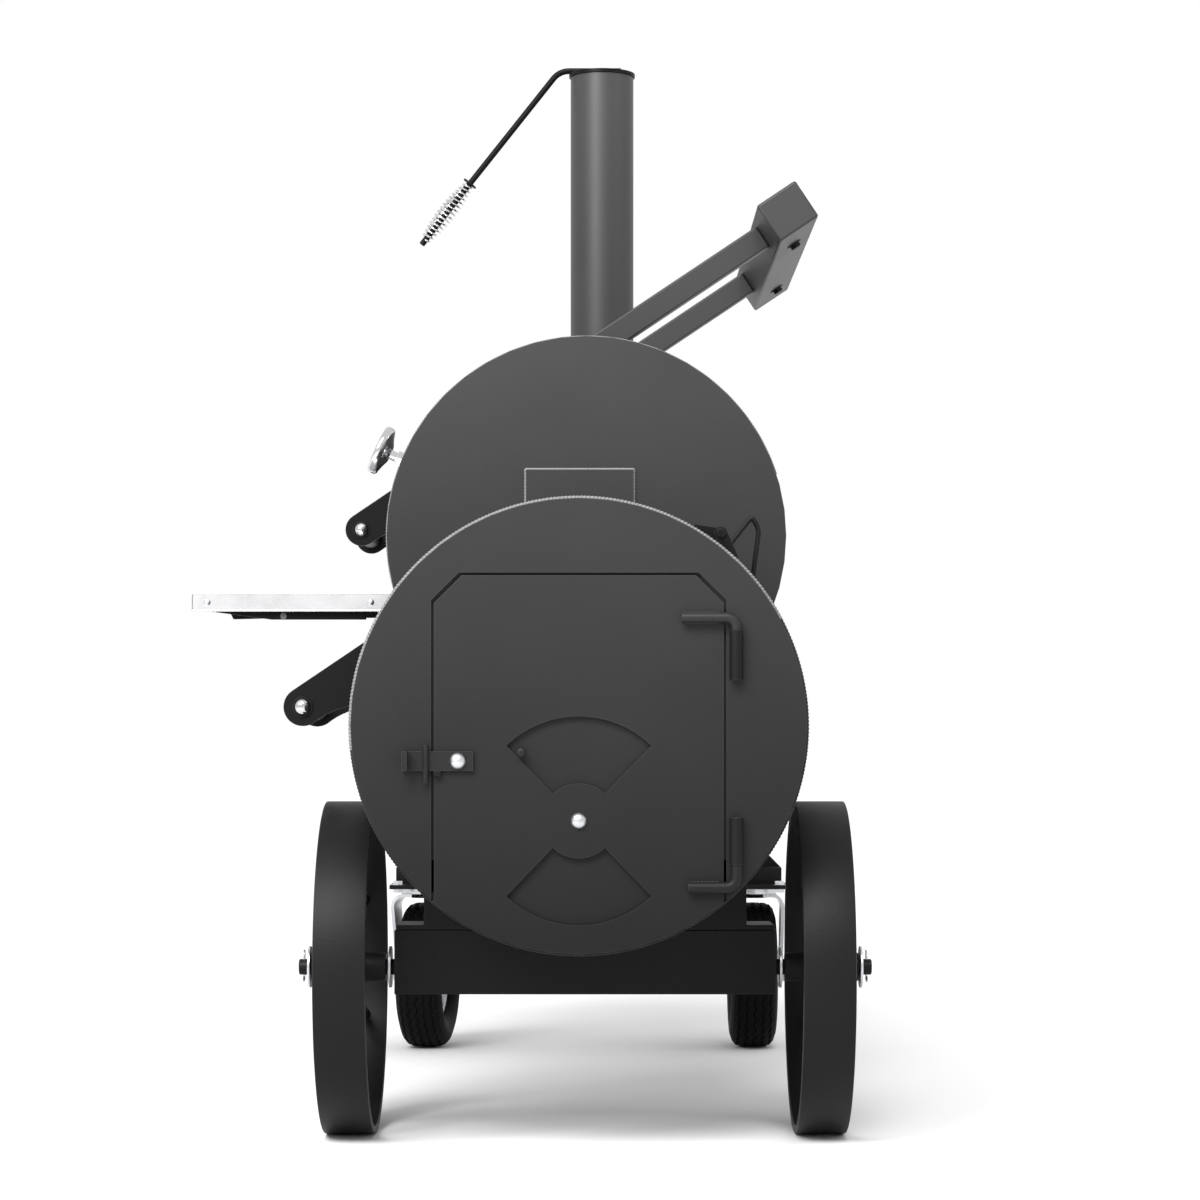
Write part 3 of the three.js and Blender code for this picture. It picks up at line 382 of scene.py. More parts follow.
def sweep(path, radii, sides=14, closed=False):
    """A round bar along a path: p(i) + r(i)(cos a·n + sin a·b), n carried along without twist."""
    path = np.asarray(path, float)
    radii = np.broadcast_to(radii, len(path))
    before = np.roll(path, 1, axis=0)
    after = np.roll(path, -1, axis=0)
    if not closed:
        before[0] = path[0]
        after[-1] = path[-1]
    along = after - before
    along /= np.linalg.norm(along, axis=1)[:, None]
    _, n, _ = square_to(along[0])
    turn = np.linspace(0, 2 * math.pi, sides, endpoint=False)
    rows = []
    for place, radius, t in zip(path, radii, along):
        n = n - np.dot(n, t) * t
        n /= np.linalg.norm(n)
        b = np.cross(t, n)
        rows.append(place + radius * (np.cos(turn)[:, None] * n + np.sin(turn)[:, None] * b))
    faces = grid_faces(len(path), sides)
    if closed:
        last = (len(path) - 1) * sides
        for j in range(sides):
            k = (j + 1) % sides
            faces.append((last + j, last + k, k, j))
    else:
        faces.append(tuple(range(sides)))
        faces.append(tuple(range((len(path) - 1) * sides, len(path) * sides)))
    return np.concatenate(rows), faces


def bent(points, bend, steps=9):
    """A path through the points, each inner corner rounded from bend before it to bend after it."""
    points = [np.asarray(p, float) for p in points]
    path = [points[0]]
    for i in range(1, len(points) - 1):
        back = points[i - 1] - points[i]
        ahead = points[i + 1] - points[i]
        start = points[i] + back / np.linalg.norm(back) * bend
        end = points[i] + ahead / np.linalg.norm(ahead) * bend
        for t in np.linspace(0, 1, steps):
            path.append((1 - t) ** 2 * start + 2 * t * (1 - t) * points[i] + t ** 2 * end)
    path.append(points[-1])
    return np.array(path)


def block(x0, x1, y0, y1, z0, z1):
    """Eight corners and six sides of a box."""
    corners = [(x, y, z) for x in (x0, x1) for y in (y0, y1) for z in (z0, z1)]
    sides = [(0, 1, 3, 2), (4, 6, 7, 5), (0, 4, 5, 1), (2, 3, 7, 6), (0, 2, 6, 4), (1, 5, 7, 3)]
    return np.array(corners, float), sides


def turned_about(shape, pivot, degrees):
    """The shape turned about an upright line through pivot."""
    points, faces = shape
    c = math.cos(math.radians(degrees))
    s = math.sin(math.radians(degrees))
    x = points[:, 0] - pivot[0]
    y = points[:, 1] - pivot[1]
    return np.stack([pivot[0] + c * x - s * y, pivot[1] + s * x + c * y, points[:, 2]], 1), faces


def piece_of(name, *shapes):
    """One mesh object from several shapes in working millimetres."""
    points = []
    faces = []
    for shape_points, shape_faces in shapes:
        faces += [tuple(i + len(points) for i in face) for face in shape_faces]
        points += [tuple(at(*p)) for p in shape_points]
    return put_together(name, points, faces)


# ---------------------------------------------------------------- drums and fixed steelwork
# Two rolled steel drums with plate ends, welded end to end, on a saddle and a plate stand.
# Flame-cut plate edges are ground a little round before painting.
FIREBOX_X, FIREBOX_Z = -6, 485
CHAMBER_Z = 730
UNDER_PARTS = ("axle_beam", "firebox_saddle", "rear_stand", "grease_drain", "latch_rest", "shelf_hinge_rail")
for node, width in (
        ("firebox_shell", 0.0012), ("cook_chamber_shell", 0.0012), ("firebox_tie_plate", 0.0015),
        ("stack_elbow", 0.002), ("stack_pipe", 0.0008), ("axle_beam", 0.003), ("firebox_saddle", 0.0015),
        ("rear_stand", 0.0015), ("grease_drain", 0.0008), ("latch_rest", 0.0006),
        ("firebox_hinge_lug_front", 0.001), ("firebox_hinge_lug_rear", 0.001),
        ("chamber_hinge_lug_front", 0.001), ("chamber_hinge_lug_rear", 0.001),
        ("shelf_hinge_rail", 0.0008)):
    # Parts underneath take the darker copy of the paint, painted shade for their place under the drums and
    # shelf.
    if node in UNDER_PARTS:
        rounded_copy(node, width, under_parts_shade_paint, "smoker", "paint")
    elif "hinge" in node:
        rounded_copy(node, width, bracket_paint, "smoker", "paint")
    else:
        rounded_copy(node, width, black_paint, "smoker", "paint")

for node in ("cooking_grate_front", "cooking_grate_rear", "heat_deflector", "fire_grate"):
    rounded_copy(node, 0.0012, seasoned_steel, "smoker", "bare_steel")

# ---------------------------------------------------------------- weld beads
# Welds run round the drums behind their end plates, round the tie plate and where the firebox meets the
# chamber. Their ripples are about 4 mm long. The upper arcs are coloured pale metal, a painted highlight for
# the light from above; the lower firebox arc is painted like the drum.
RIPPLE = 4.2
FACE_WELD_Y = 8.4
JOINT_WELD_Y = 506.8


def bead(path, radius, closed=False):
    """A weld: a bar along the path whose radius swells once per ripple, r(1 + 0.16 sin)."""
    path = np.asarray(path, float)
    steps = np.linalg.norm(np.diff(path, axis=0), axis=1)
    along = np.concatenate([[0], np.cumsum(steps)])
    swell = 1 + 0.16 * np.sin(along * 2 * math.pi / RIPPLE)
    return sweep(path, radius * swell, 8, closed)


def ring_path(x, y, z, radius, first=0, last=360, pitch=1.1):
    """Points about (x, z) at depth y, from one angle to another."""
    count = int(math.radians(last - first) * radius / pitch)
    turn = np.radians(np.linspace(first, last, count, endpoint=last - first < 360))
    return np.stack([x + radius * np.cos(turn), np.full(count, float(y)), z + radius * np.sin(turn)], 1)


# Painted highlight: the upper firebox arc is pale metal, the lower arc is painted like the drum.
upper_path = ring_path(FIREBOX_X, FACE_WELD_Y, FIREBOX_Z, 255.8, 28, 186)
upper_weld_highlight = piece_of("firebox_face_weld_upper", bead(upper_path, 2.5))
dress(upper_weld_highlight, pale_metal_and_highlight, "smoker", "bare_steel")
lower_path = ring_path(FIREBOX_X, FACE_WELD_Y, FIREBOX_Z, 255.8, 186, 388)
painted_weld = piece_of("firebox_face_weld_lower", bead(lower_path, 2.2))
dress(painted_weld, black_paint, "smoker", "paint")
# The chamber welds take the same pale metal as a painted highlight; at the front only their upper arcs are
# drawn.
chamber_welds = piece_of(
    "chamber_end_welds",
    bead(ring_path(0, 516.4, CHAMBER_Z, 255.0, 18, 200), 1.8),
    bead(ring_path(0, 1414.0, CHAMBER_Z, 255.0), 2.1, closed=True),
    bead(ring_path(FIREBOX_X, JOINT_WELD_Y, FIREBOX_Z, 255.2, 24, 58), 2.6),
    bead(ring_path(FIREBOX_X, JOINT_WELD_Y, FIREBOX_Z, 255.2, 122, 156), 2.6))
dress(chamber_welds, pale_metal_and_highlight, "smoker", "bare_steel")
straight = np.linspace(0, 1, 70)[:, None]
corners = [np.array(c, float) for c in (
    (-77.5, JOINT_WELD_Y, 736), (-77.5, JOINT_WELD_Y, 814.5),
    (60.5, JOINT_WELD_Y, 814.5), (60.5, JOINT_WELD_Y, 736))]
tie_path = np.concatenate([a + (b - a) * straight[:-1] for a, b in zip(corners, corners[1:])])
# The tie plate's bead takes the same pale metal, a painted highlight.
tie_weld = piece_of("tie_plate_weld", bead(tie_path, 2.0))
dress(tie_weld, pale_metal_and_highlight, "smoker", "bare_steel")

# ---------------------------------------------------------------- lids
# Each lid is the piece cut out of its drum, hung on two straps, with flat handle brackets.
for node, width in (
        ("chamber_lid", 0.001), ("chamber_hinge_strap_front", 0.001), ("chamber_hinge_strap_rear", 0.001),
        ("chamber_handle_bracket_front", 0.0012), ("chamber_handle_bracket_rear", 0.0012),
        ("counterweight_arm_front", 0.0025), ("counterweight_arm_rear", 0.0025),
        ("counterweight_bar", 0.003)):
    small = "bracket" in node or "hinge" in node
    rounded_copy(node, width, bracket_paint if small else black_paint, "chamber_lid", "paint", 3)

for node, width in (
        ("firebox_lid", 0.001), ("firebox_hinge_strap_front", 0.001), ("firebox_hinge_strap_rear", 0.001),
        ("firebox_handle_bracket_front", 0.0012), ("firebox_handle_bracket_rear", 0.0012)):
    small = "bracket" in node or "hinge" in node
    rounded_copy(node, width, bracket_paint if small else black_paint, "firebox_lid", "paint", 3)

# ---------------------------------------------------------------- lid grips
# A painted steel tube between two brackets, held at each end by a chromed dome-head bolt on a
# dark washer.
DOME = [(0, 7.4), (2.8, 7.2), (5.6, 6.2), (7.8, 4.4), (9.2, 2.2), (9.7, 0.4), (9.7, 0), (0, 0)]
WASHER = [(0, 1.6), (11.6, 1.6), (12.2, 1.1), (12.2, 0), (0, 0)]
WASHER_THICK = 1.6
TUBE_RADIUS = 15
TUBE_EDGE = 1.2
BRACKET_REACH = 8.6


def lid_grip(name, body, x, z, front, rear):
    """A tube from front to rear at (x, z), with a washer and a domed bolt past each bracket."""
    length = rear - front
    shoulder = TUBE_RADIUS - TUBE_EDGE
    tube = [(0, 0), (shoulder, 0), (TUBE_RADIUS, TUBE_EDGE), (TUBE_RADIUS, length - TUBE_EDGE),
            (shoulder, length), (0, length)]
    near = front - BRACKET_REACH
    far = rear + BRACKET_REACH
    bar = piece_of(
        name + "_tube",
        lathe(tube, (x, front, z), (0, 1, 0)),
        lathe(WASHER, (x, near, z), (0, -1, 0), 32),
        lathe(WASHER, (x, far, z), (0, 1, 0), 32))
    dress(bar, bracket_paint, body, "paint", name)
    bolts = piece_of(
        name + "_bolts",
        lathe(DOME, (x, near - WASHER_THICK, z), (0, -1, 0), 32),
        lathe(DOME, (x, far + WASHER_THICK, z), (0, 1, 0), 32))
    dress(bolts, bright_chrome, body, "chrome")


lid_grip("firebox_handle_grip", "firebox_lid", -329.5, 508, 164.3, 343.7)
lid_grip("chamber_handle_grip", "chamber_lid", -314.5, 761, 875.3, 1054.7)

# ---------------------------------------------------------------- counterweight bolts
# Two hexagon bolts pass through the bar into the arm ends; their heads show on its lower face.
BAR_SLOPE = math.radians(33.7)
BAR_DOWN = np.array([math.sin(BAR_SLOPE), 0, -math.cos(BAR_SLOPE)])
BAR_X, BAR_Z = 264, 1164
BAR_HALF = 28.25
ARM_DEPTHS = (749, 1181)
FLAT_WASHER = [(0, 1.4), (10.5, 1.4), (10.5, 0), (0, 0)]
HEX_HEAD = [(0, 5.6), (6.2, 5.6), (7.6, 4.6), (7.6, 0), (0, 0)]
heads = []
for depth in ARM_DEPTHS:
    foot = np.array([BAR_X, depth, BAR_Z]) + BAR_HALF * BAR_DOWN
    heads.append(lathe(FLAT_WASHER, foot, BAR_DOWN, 24))
    heads.append(lathe(HEX_HEAD, foot + 1.4 * BAR_DOWN, BAR_DOWN, 6))
dress(piece_of("counterweight_bolts", *heads), wheel_paint, "chamber_lid", "paint")

# ---------------------------------------------------------------- thermometer
# A chromed dial thermometer screwed into a coupling that is welded to the lid: a stem nut, a coned back, a
# rolled bezel and a pale dial; the glass in front of the dial is left out.
DIAL_ANGLE = math.radians(155)
DIAL_OUT = (math.cos(DIAL_ANGLE), 0, math.sin(DIAL_ANGLE))
DIAL_CENTRE = (0, 737, CHAMBER_Z)
FACE = 305.5


def along_dial(height, u=0.0, v=0.0):
    """A point at a height on the dial's axis, u and v millimetres across it."""
    axis, right, up = square_to(DIAL_OUT)
    return np.array(DIAL_CENTRE, float) + height * axis + u * right + v * up


# Each profile gives a radius and how far that ring stands from the front of the dial's plate.
CASE = [
    (0, -33), (3.2, -33), (3.2, -22), (6.6, -22), (6.6, -13), (11, -12.4), (19, -9), (27, -6.5), (31, -5.6),
    (32.6, -4), (33.6, -1), (34, 2.5), (33.4, 5.2), (32, 6.8), (30.2, 6.6), (29.2, 5), (28.8, 3.2), (0, 3.2)]
STEM_NUT = [(0, -32), (10.6, -32), (11, -31), (11, -23), (10.6, -22), (0, -22)]
DIAL_PLATE = [(0, 3.25), (28.6, 3.25), (28.6, 3.6), (0, 3.6)]
NEEDLE_HUB = [(0, 3.6), (3, 3.6), (2.6, 5), (0, 5.2)]


def dial_lathe(profile, sides):
    """A ring shape on the dial's axis."""
    return lathe([(radius, FACE + out) for radius, out in profile], DIAL_CENTRE, DIAL_OUT, sides)


case = piece_of(
    "thermometer_case",
    dial_lathe(CASE, 72),
    dial_lathe(STEM_NUT, 6),
    lathe([(0, 155), (3.2, 155), (3.2, FACE - 31), (0, FACE - 31)], DIAL_CENTRE, DIAL_OUT, 24))
dress(case, bright_chrome, "chamber_lid", "chrome", "thermometer_dial")
dial_white, _, _, dial_shader = new_material("dial_white")
dial_shader.inputs["Base Color"].default_value = (0.78, 0.78, 0.76, 1)
dial_shader.inputs["Roughness"].default_value = 0.25
dial_plate = piece_of("thermometer_dial_plate", dial_lathe(DIAL_PLATE, 72))
dress(dial_plate, dial_white, "chamber_lid", "chrome")
marks = []
for i in range(41):
    turn = math.radians(-225 + 270 * i / 40)
    inner = 21.5 if i % 5 == 0 else 24
    ends = [along_dial(FACE + 3.8, q * math.cos(turn), q * math.sin(turn)) for q in (inner, 27)]
    marks.append(sweep(ends, 0.42 if i % 5 == 0 else 0.24, 5))
needle = [along_dial(FACE + 4.4, q * math.cos(2.5), q * math.sin(2.5)) for q in (-7, 0, 20)]
marks.append(sweep(needle, [0.9, 1.1, 0.3], 6))
marks.append(dial_lathe(NEEDLE_HUB, 24))
dress(piece_of("thermometer_marks", *marks), wheel_paint, "chamber_lid", "paint")
rounded_copy("thermometer_coupling", 0.0006, bright_zinc, "chamber_lid", "zinc")

# ---------------------------------------------------------------- firebox door
# A plate cut from the face itself, with a sector damper behind it and a drop latch.
rounded_copy("firebox_door", 0.0009, black_paint, "firebox_door", "paint")
rounded_copy("damper_blade", 0.0006, black_paint, "intake_damper", "paint")
rounded_copy("latch_bar", 0.001, black_paint, "door_latch", "paint")
for node in ("door_barrel_upper", "door_barrel_lower"):
    rounded_copy(node, 0.0006, wheel_paint, "smoker", "paint")


def dome_bolt(name, node, body, x, y, z, reach, nut):
    """A zinc bolt: a low dome on the front, the shank to its reach, and a hexagon nut behind."""
    head = [(0, 7), (3, 6.6), (6, 5.2), (8.2, 3), (9.4, 0.8), (9.4, 0), (0, 0)]
    bolt = piece_of(
        name,
        lathe(head, (x, y, z), (0, -1, 0), 32),
        lathe([(0, -0.5), (5, -0.5), (5, reach), (0, reach)], (x, y, z), (0, 1, 0), 24),
        lathe([(0, nut), (9, nut), (9, nut + 4), (0, nut + 4)], (x, y, z), (0, 1, 0), 6))
    dress(bolt, bright_zinc, body, "zinc", node)


dome_bolt("damper_pivot_bolt", "damper_bolt", "intake_damper", FIREBOX_X, -0.3, 379, reach=21, nut=10)
dome_bolt("latch_pivot_bolt", "latch_bolt", "door_latch", -141.2, -5.6, 446, reach=21, nut=18)

# ---------------------------------------------------------------- door pins and lid stop
# Round bar bent square: the level leg is welded to the door, the upright leg drops through or
# rises into its barrel. The lid stop is a thinner bar bent to a peak.
PIN_Y = -7.8
PIN_WELD_Y = -1.8
PIN_WELD_END = 150
for name, run in (
        ("door_pin_upper", ((109, 606), (170, 606), (170, 545))),
        ("door_pin_lower", ((116, 305), (170, 305), (170, 379)))):
    path = [(x, PIN_Y, z) for x, z in run]
    welds = []
    for z in (run[0][1] - 5.4, run[0][1] + 5.4):
        line = np.linspace((run[0][0] + 3, PIN_WELD_Y, z), (PIN_WELD_END, PIN_WELD_Y, z), 40)
        welds.append(bead(line, 1.7))
    pin = piece_of(name + "_bar", sweep(bent(path, 13), 6, 20), *welds)
    dress(pin, black_paint, "firebox_door", "paint", name)
stop_points = [(152, 108, 675), (193, 108, 727), (201, 108, 712), (192, 108, 640)]
stop = piece_of("lid_stop_bar", sweep(bent(stop_points, 6.5), 3.2, 14))
dress(stop, wheel_paint, "smoker", "paint", "firebox_lid_stop")

# ---------------------------------------------------------------- stack cap and its handle
# A thin steel disc swings on a pin; a bent rod is welded across it and ends in a coiled wire
# grip that stays cool.
rounded_copy("stack_cap", 0.0012, bracket_paint, "stack_cap", "paint")
ROD_RADIUS = 4.75
CAP_ROD_Z = 1534.05
STACK_Y = 1515
rod_corners = [(50, STACK_Y, CAP_ROD_Z), (-48, STACK_Y, CAP_ROD_Z), (-196, STACK_Y, 1348),
               (-267, STACK_Y, 1258)]
handle_path = bent(rod_corners, 16)
last_step = handle_path[-1] - handle_path[-2]
tip = handle_path[-1] + last_step / np.linalg.norm(last_step)
rod_radii = [ROD_RADIUS] * len(handle_path) + [3.8]
rod_piece = piece_of("cap_rod", sweep(np.vstack([handle_path, tip]), rod_radii, 18))
dress(rod_piece, bracket_paint, "stack_cap", "paint", "cap_handle_rod")
COILS = 15.5
grip_start = np.array([-190, STACK_Y, 1355.6])
grip_axis, grip_u, grip_v = square_to((-71, 0, -90))
share = np.linspace(0, 1, 520)
coil_turn = share * COILS * 2 * math.pi
coil_radius = 6.2 + 7.2 * np.sin(math.pi * share) ** 0.8
coil = (grip_start + (4 + 112 * share)[:, None] * grip_axis
        + (coil_radius * np.cos(coil_turn))[:, None] * grip_u
        + (coil_radius * np.sin(coil_turn))[:, None] * grip_v)
spring = piece_of("spring_grip_coil", sweep(coil, 1.55, 9))
dress(spring, bright_chrome, "stack_cap", "chrome", "spring_grip")
collar = [(5, 0), (11.6, 0), (12, 0.5), (12, 2.0), (11.6, 2.5), (5, 2.5)]
washer = piece_of("spring_grip_washer", lathe(collar, grip_start, grip_axis, 40))
dress(washer, bracket_paint, "stack_cap", "paint")

# ---------------------------------------------------------------- shelf
# A folded stainless tray on a painted bracket. Its front is fixed with two pan-head screws and
# its edges are hemmed.
rounded_copy("shelf_tray", 0.0016, brushed_stainless, "side_shelf", "stainless", 3)
rounded_copy("shelf_bracket", 0.001, bracket_paint, "side_shelf", "paint")
FRONT = 584
HEM_Y = FRONT - 0.2
HEM_LEFT, HEM_RIGHT = -513.6, -251.4
HEM_LOW, HEM_TOP = 637.4, 659.8
hem = [(HEM_LEFT, HEM_Y, HEM_LOW), (HEM_RIGHT, HEM_Y, HEM_LOW), (HEM_RIGHT, HEM_Y, HEM_TOP),
       (HEM_LEFT, HEM_Y, HEM_TOP)]
hems = piece_of("shelf_hem", sweep(bent(hem + [hem[0]], 3, 5), 0.9, 8))
dress(hems, brushed_stainless, "side_shelf", "stainless")
PAN_HEAD = [(0, 2.2), (2, 2.1), (3.6, 1.5), (4.4, 0.5), (4.4, 0), (0, 0)]
screws = [lathe(PAN_HEAD, (x, FRONT, 648), (0, -1, 0), 24) for x in (-494, -281)]
dress(piece_of("shelf_screws", *screws), bright_zinc, "side_shelf", "zinc")
catch = piece_of(
    "shelf_catch",
    block(-404, -384, 600, 604, 627, 637),
    lathe([(0, 5), (4.4, 5), (4.4, 0), (0, 0)], (-396, 600, 630.5), (0, -1, 0), 6))
dress(catch, pale_metal_and_highlight, "side_shelf", "bare_steel")

# ---------------------------------------------------------------- road wheels
# Welded steel wheels: a flat rolled tread, a tube hub and eight round spokes with a weld
# collar at each end.
HUB_Z = 198
WHEEL_Y = 246
TREAD = [
    (189, 250.2), (190.2, 249), (196.4, 249), (197.6, 249.5), (198, 251), (198, 307), (197.6, 308.5),
    (196.4, 309), (190.2, 309), (189, 307.8), (189, 250.2)]
HUB = [(10.2, 238), (16.2, 238), (17, 239), (17, 325), (16.2, 326), (10.2, 326), (10.2, 238)]
SPOKE = [(0, 14), (10, 14), (9.2, 17), (7.4, 20), (7, 22), (7, 181), (7.6, 185), (9.6, 188), (10.6, 190),
         (0, 190)]
SPOKES = 8
TREAD_MIDDLE = 279.0
for side, flip in (("left", -1), ("right", 1)):
    axis = (flip, 0, 0)
    centre = (0, WHEEL_Y, HUB_Z)
    shapes = [lathe(TREAD, centre, axis, 144), lathe(HUB, centre, axis, 40)]
    middle = np.array([flip * TREAD_MIDDLE, WHEEL_Y, HUB_Z])
    for i in range(SPOKES):
        turn = math.radians(360 / SPOKES * (i + 0.5))
        outward = np.array([0, -math.sin(turn), math.cos(turn)])
        shapes.append(lathe(SPOKE, middle, outward, 18))
    dress(piece_of("road_wheel_" + side + "_welded", *shapes), wheel_paint, "road_wheel_" + side, "paint",
          "road_wheel_" + side)

# ---------------------------------------------------------------- axle
# A plain bar, painted with the wheels, with zinc-plated washers each side of the hubs and a
# split pin through each end.
AXLE = [(0, -342), (8.3, -342), (9.5, -340.8), (9.5, 340.8), (8.3, 342), (0, 342)]
axle_bar = piece_of("wheel_axle_bar", lathe(AXLE, (0, WHEEL_Y, HUB_Z), (1, 0, 0), 32))
dress(axle_bar, wheel_paint, "smoker", "paint", "wheel_axle")
WASHERS = ((231, 234.5), (327.5, 330.5))
SPLIT_PIN_X = 336
axle_shapes = []
for flip in (-1, 1):
    for near, far in WASHERS:
        ring = [(9.5, near), (24.4, near), (25, near + 0.6), (25, far - 0.6), (24.4, far), (9.5, far)]
        axle_shapes.append(lathe(ring, (0, WHEEL_Y, HUB_Z), (flip, 0, 0), 40))
    x = flip * SPLIT_PIN_X
    loop = [(x, WHEEL_Y + 1, HUB_Z - 16), (x, WHEEL_Y + 1, HUB_Z + 11), (x, WHEEL_Y + 5, HUB_Z + 15),
            (x, WHEEL_Y + 1, HUB_Z + 20), (x, WHEEL_Y - 3, HUB_Z + 15), (x, WHEEL_Y - 1, HUB_Z + 11),
            (x, WHEEL_Y - 1, HUB_Z - 12), (x, WHEEL_Y - 8, HUB_Z - 17)]
    axle_shapes.append(sweep(bent(loop, 1.9, 4), 1.5, 8))
dress(piece_of("axle_washers_and_pins", *axle_shapes), bright_zinc, "smoker", "zinc")

# ---------------------------------------------------------------- casters
# Swivel casters: a pressed zinc fork with rounded shoulders, a pneumatic tyre with a zigzag
# tread on a two-part rim, and a through bolt with nuts.
TRAIL = 30
AXLE_Z = 110
LEG_X = 43.5
LEG_TOP = 233
SHOULDER = 16.5
STRIP_HALF = 2.4
CROWN_HALF = 34
FOOT_HALF = 17
TIP_HALF = 9
RIB_PITCH = 11.6
GROOVE_DEPTH = 3.0
ZIGZAGS = 36
ZIGZAG_REACH = 1.9
LUGS = 54
LUG_DEPTH = 2.2


def fork_leg(flank):
    """A pressed strip that leaves the crown level, turns down round the shoulder and narrows to the axle."""
    bend_z = LEG_TOP - SHOULDER
    turn = np.linspace(0, math.pi / 2, 10)
    xs = np.concatenate([[14], LEG_X - SHOULDER + SHOULDER * np.sin(turn), [LEG_X] * 3])
    zs = np.concatenate([[LEG_TOP], bend_z + SHOULDER * np.cos(turn), [180, 130, 97]])
    nx = np.concatenate([[0], np.sin(turn), [1, 1, 1]])
    nz = np.concatenate([[1], np.cos(turn), [0, 0, 0]])
    fall = np.clip((bend_z - zs) / (bend_z - AXLE_Z), 0, 1)
    half = CROWN_HALF - (CROWN_HALF - FOOT_HALF) * fall
    half[-1] = TIP_HALF
    middle = TRAIL * fall
    rows = []
    for x, z, dx, dz, h, m in zip(xs, zs, nx, nz, half, middle):
        inner = (flank * (x - STRIP_HALF * dx), z - STRIP_HALF * dz)
        outer = (flank * (x + STRIP_HALF * dx), z + STRIP_HALF * dz)
        rows += [(inner[0], m - h, inner[1]), (inner[0], m + h, inner[1]), (outer[0], m + h, outer[1]),
                 (outer[0], m - h, outer[1])]
    count = len(xs)
    faces = grid_faces(count, 4)
    faces += [(0, 1, 2, 3), tuple(range(4 * count - 4, 4 * count))]
    return np.array(rows), faces


def tyre_shape(radius):
    """r(x, a) = crown(x) less a groove wherever x, shifted by a zigzag in a, meets a rib's edge."""
    across = np.concatenate([[-20, -27, -32, -35.2], np.linspace(-34.6, 34.6, 57), [35.2, 32, 27, 20]])
    fall = np.interp(np.abs(across), [0, 18, 26, 31, 34.6, 36], [0, 0.6, 3.4, 9, 20, 26])
    crown = radius - fall
    crown[:4] = [62.3, 66, 74, 84]
    crown[-4:] = crown[:4][::-1]
    turns = 216
    angle = np.linspace(0, 2 * math.pi, turns, endpoint=False)
    zigzag = ZIGZAG_REACH * (2 * np.abs((angle * ZIGZAGS / (2 * math.pi)) % 1 * 2 - 1) - 1)
    rows = []
    for i, (x, r) in enumerate(zip(across, crown)):
        if abs(x) < 29 and 3 < i < len(across) - 4:
            phase = ((x + zigzag) / RIB_PITCH + 0.5) % 1
            groove = GROOVE_DEPTH * np.clip(1 - np.abs(phase - 0.5) / 0.16, 0, 1) ** 0.5
        else:
            lug = (np.abs((angle * LUGS / (2 * math.pi)) % 1 - 0.5) < 0.14).astype(float)
            groove = (LUG_DEPTH if 28 < abs(x) < 33.5 and r > radius - 17 else 0.0) * lug
        depth = r - groove
        across_ring = np.full(turns, x)
        rows.append(np.stack([across_ring, depth * np.cos(angle), depth * np.sin(angle)], 1))
    points = np.concatenate(rows) + np.array([0, TRAIL, AXLE_Z])
    faces = grid_faces(len(across), turns)
    last = (len(across) - 1) * turns
    faces += [(last + j, last + (j + 1) % turns, (j + 1) % turns, j) for j in range(turns)]
    return points, faces


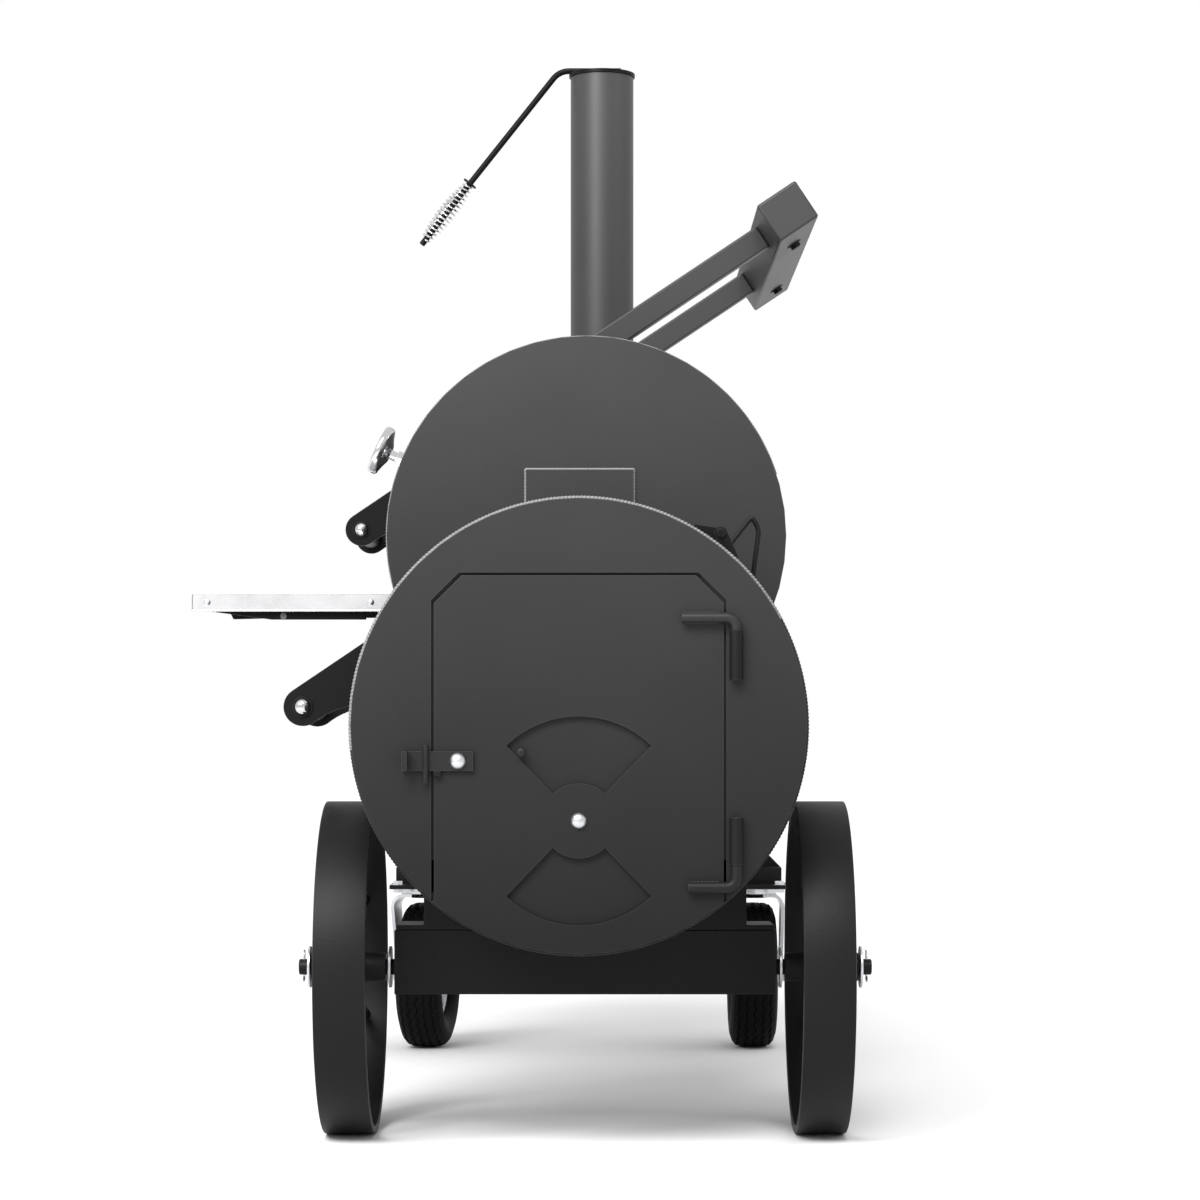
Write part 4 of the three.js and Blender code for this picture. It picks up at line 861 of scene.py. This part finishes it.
CROWN = [(0, 229), (22, 229), (30, 232), (36, 235.6), (36, 243.4), (35.4, 243.7), (0, 243.7)]
NUT = [(0, 41), (0, 46), (10.6, 46), (11.4, 46.8), (11.4, 52), (10.6, 53), (6, 53), (6, 56), (0, 56)]
RIM = [(20, -22), (44, -19), (52, -12), (54, -4), (54, 4), (52, 12), (44, 19), (20, 22)]
LIP = [(54, -20), (60, -21.4), (62, -21), (62, 21), (60, 21.4), (54, 20), (54, -20)]
BOSS = [(7, -39), (17, -39), (20, -36), (20, 36), (17, 39), (7, 39), (7, -39)]
PLATE_HOLES = ((-38, -44), (38, -44), (-38, 44), (38, 44))
BOLT_WASHER = [(0, 249.1), (12, 249.1), (12, 250.6), (0, 250.6)]
BOLT_HEAD = [(0, 250.6), (8, 250.6), (8, 256), (0, 256)]
BOLT_NUT = [(0, 244), (8, 244), (8, 238.5), (0, 238.5)]
SWIVEL_Y = 1270
CASTERS = (("left", -249, -7), ("right", 249, 0))


def on_swivel(shape, x, turn):
    """The shape set on its swivel at x and turned with the caster."""
    points, faces = shape
    return turned_about((points + np.array([x, SWIVEL_Y, 0.0]), faces), (x, SWIVEL_Y), turn)


for side, x, turn in CASTERS:
    hub_centre = (0, TRAIL, AXLE_Z)
    fork_shapes = [
        lathe(CROWN, (0, 0, 0), (0, 0, 1), 48), fork_leg(-1), fork_leg(1),
        lathe([(0, -50), (6, -50), (6, 50), (0, 50)], hub_centre, (1, 0, 0), 20),
        lathe(NUT, hub_centre, (1, 0, 0), 6), lathe(NUT, hub_centre, (-1, 0, 0), 6)]
    fork = piece_of(
        "caster_fork_" + side + "_pressed", *[on_swivel(shape, x, turn) for shape in fork_shapes])
    dress(fork, bright_zinc, "caster_fork_" + side, "zinc", "caster_fork_" + side)
    rim_shapes = [lathe(RIM, hub_centre, (1, 0, 0), 64), lathe(LIP, hub_centre, (1, 0, 0), 64),
                  lathe(BOSS, hub_centre, (1, 0, 0), 32)]
    rim = piece_of("caster_rim_" + side, *[on_swivel(shape, x, turn) for shape in rim_shapes])
    dress(rim, bright_zinc, "caster_wheel_" + side, "zinc", "caster_hub_" + side)
    tyre = piece_of(
        "caster_tyre_" + side + "_treaded", on_swivel(tyre_shape(AXLE_Z), x, turn))
    dress(tyre, moulded_rubber, "caster_wheel_" + side, "rubber", "caster_tyre_" + side)
    bolts = []
    for dx, dy in PLATE_HOLES:
        hole = (x + dx, SWIVEL_Y + dy, 0)
        bolts.append(lathe(BOLT_WASHER, hole, (0, 0, 1), 24))
        bolts.append(lathe(BOLT_HEAD, hole, (0, 0, 1), 6))
        bolts.append(lathe(BOLT_NUT, hole, (0, 0, 1), 6))
    dress(piece_of("caster_plate_bolts_" + side, *bolts), bright_zinc, "smoker", "zinc")
